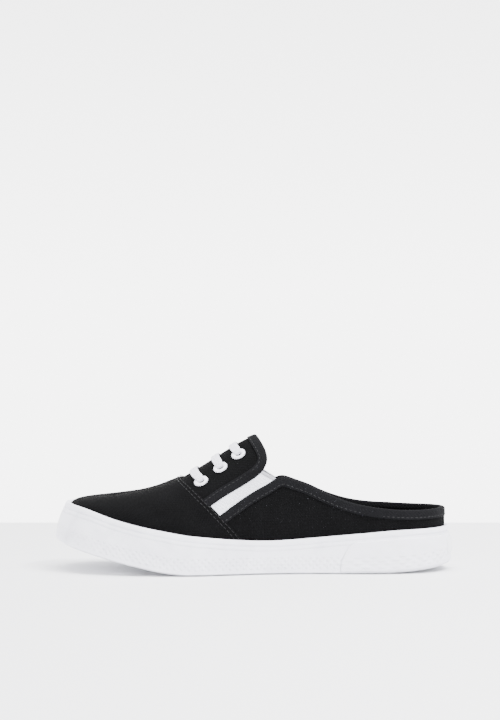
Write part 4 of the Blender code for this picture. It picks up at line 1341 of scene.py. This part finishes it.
front_curve = spline([(z, s) for s, z in HEEL_FRONT], 1)
levels = np.linspace(HEEL_FRONT[0][1], HEEL_FRONT[-1][1], HEEL_GRID[0])
front_angles = angle_of(along(front_curve, levels))
rounded_patch(
    "heel_foxing", FOXING_HEIGHT * HEEL_FRONT[0][1],
    lambda angle: strip_height(angle) - LIP - PINSTRIPE - LAYER_DROP, front_angles,
    2 * math.pi - front_angles, LAYER_GAP, LAYER_GAP + HEEL_LAYER, heel_rubber, HEEL_GRID,
    HEEL_ROUND)
corner = 1 - LABEL_CORNER * np.abs(np.linspace(-1, 1, LABEL_GRID[0])) ** 8
half_turn = LABEL_WIDTH / BALL_WIDTH * corner
rounded_patch(
    "heel_label", LABEL_LOW, lambda angle: LABEL_HIGH + 0 * angle, math.pi - half_turn, math.pi + half_turn,
    LAYER_GAP + HEEL_LAYER, LAYER_GAP + HEEL_LAYER + LABEL_THICK, label_rubber, LABEL_GRID,
    LABEL_ROUND)

# Insole: cloth over foam, crowned in the middle and cupped up a little at its rim
INSOLE_COLUMNS = 180
INSOLE_RINGS = 26
INSOLE_CROWN = 0.6
INSOLE_EDGE = 2.5
# Ends of the middle line towards toe and heel, as shares of length from the middle
SPINE_REACH = (0.42, 0.44)


def on_sole(flat, up):
    """Points set to a height over the sole plate's top."""
    flat = flat.copy()
    flat[:, 2] = rise(flat[:, 0]) + outsole_height(flat[:, 0]) + GAP + up
    return flat


turn = full_turn(INSOLE_COLUMNS)
x = plan(turn)[:, 0]
ring = side_point(turn, outsole_height(x) + GAP, -(upper_inset(x) + WALL + INSOLE_GAP))
spine = ring.copy()
spine[:, 1] = (ring[:, 1] + np.roll(ring[::-1], 1, axis=0)[:, 1]) / 2
spine[:, 0] = np.clip(spine[:, 0], -LENGTH * SPINE_REACH[0], LENGTH * SPINE_REACH[1])
shares = np.concatenate([[1.0, 1.0, 1.0], np.cos(np.linspace(0.1, math.pi / 2, INSOLE_RINGS))])
full = INSOLE_THICK - INSOLE_CROWN
crown = INSOLE_THICK - INSOLE_CROWN * np.linspace(1, 0, INSOLE_RINGS) ** 6
lifts = np.concatenate([[0.0, INSOLE_EDGE, full], crown])
rings = [on_sole(spine, 0.0)]
rings += [on_sole(ring * share + spine * (1 - share), up) for share, up in zip(shares, lifts)]
rings = np.array(rings)
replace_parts(swept("insole", rings, footbed, rings * (1, 1, 0), loop=True), "insole")

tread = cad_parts["outsole"].data.materials
tread.clear()
tread.append(tread_rubber)

# Plain pale floor, which ends behind the shoe where the pale backdrop begins
FLOOR_REACH = 3000.0
FLOOR_BACK = 298.0
corners = np.array([(x, y, 0.0) for y in (-FLOOR_REACH, FLOOR_BACK) for x in (-FLOOR_REACH, FLOOR_REACH)])
floor_mesh = bpy.data.meshes.new("studio_floor")
floor_mesh.from_pydata((corners * MM).tolist(), [], [(0, 1, 3, 2)])
# Matte paper: near white, dull
floor_mesh.materials.append(surface_look("matte_paper", "f0f0f1", 0.95)[0])
studio_floor = bpy.data.objects.new("studio_floor", floor_mesh)
bpy.context.scene.collection.objects.link(studio_floor)
# Camera at the photograph's viewing angle: long lens in pixels of its height, a little above the shoe
SENSOR = 36.0
PHOTO_HEIGHT = 720
FOCAL_PIXELS = 2284.5
CAMERA_PITCH = 1.695
camera = bpy.data.cameras.new("camera")
camera.sensor_fit = "VERTICAL"
camera.sensor_height = SENSOR
camera.lens = FOCAL_PIXELS / PHOTO_HEIGHT * SENSOR
camera.clip_end = 20.0
eye = bpy.data.objects.new("camera", camera)
eye.location = (-0.00269, -1.49965, 0.1815)
eye.rotation_euler = (math.radians(90 - CAMERA_PITCH), 0.0, 0.0)
bpy.context.scene.collection.objects.link(eye)
bpy.context.scene.camera = eye


def light(name, size, power, place, aim):
    """A soft square lamp at a place, turned towards its aim."""
    lamp = bpy.data.lights.new(name, "AREA")
    lamp.shape = "SQUARE"
    lamp.size = size
    lamp.energy = power
    body = bpy.data.objects.new(name, lamp)
    body.location = place
    way = np.array(aim) - np.array(place)
    body.rotation_euler = (math.acos(-way[2] / np.linalg.norm(way)), 0.0, math.atan2(way[0], -way[1]))
    bpy.context.scene.collection.objects.link(body)


light("key_lamp", 1.0, 210.0, (1.1, -0.7, 1.9), (0.0, 0.0, 0.05))
light("fill_lamp", 2.4, 10.0, (-1.6, -1.6, 1.2), (0.0, 0.0, 0.05))
light("top_lamp", 2.0, 95.0, (0.0, 0.1, 2.2), (0.0, 0.0, 0.0))

# Backdrop: white at the horizon, greyer overhead, strong enough to read as white paper
SKY_STRENGTH = 6.2
SKY_STOPS = (0.0, 0.35)
world = bpy.data.worlds.new("studio")
world.use_nodes = True
tree = world.node_tree
backdrop = tree.nodes["Background"]
backdrop.inputs["Strength"].default_value = SKY_STRENGTH
sky_place = add_node(tree, "ShaderNodeTexCoord").outputs["Generated"]
sky_height = add_node(tree, "ShaderNodeSeparateXYZ", {"Vector": sky_place}).outputs["Z"]
tree.links.new(ramp(tree, sky_height, SKY_STOPS, ("ffffff", "a0a0a2")), backdrop.inputs["Color"])
bpy.context.scene.world = world
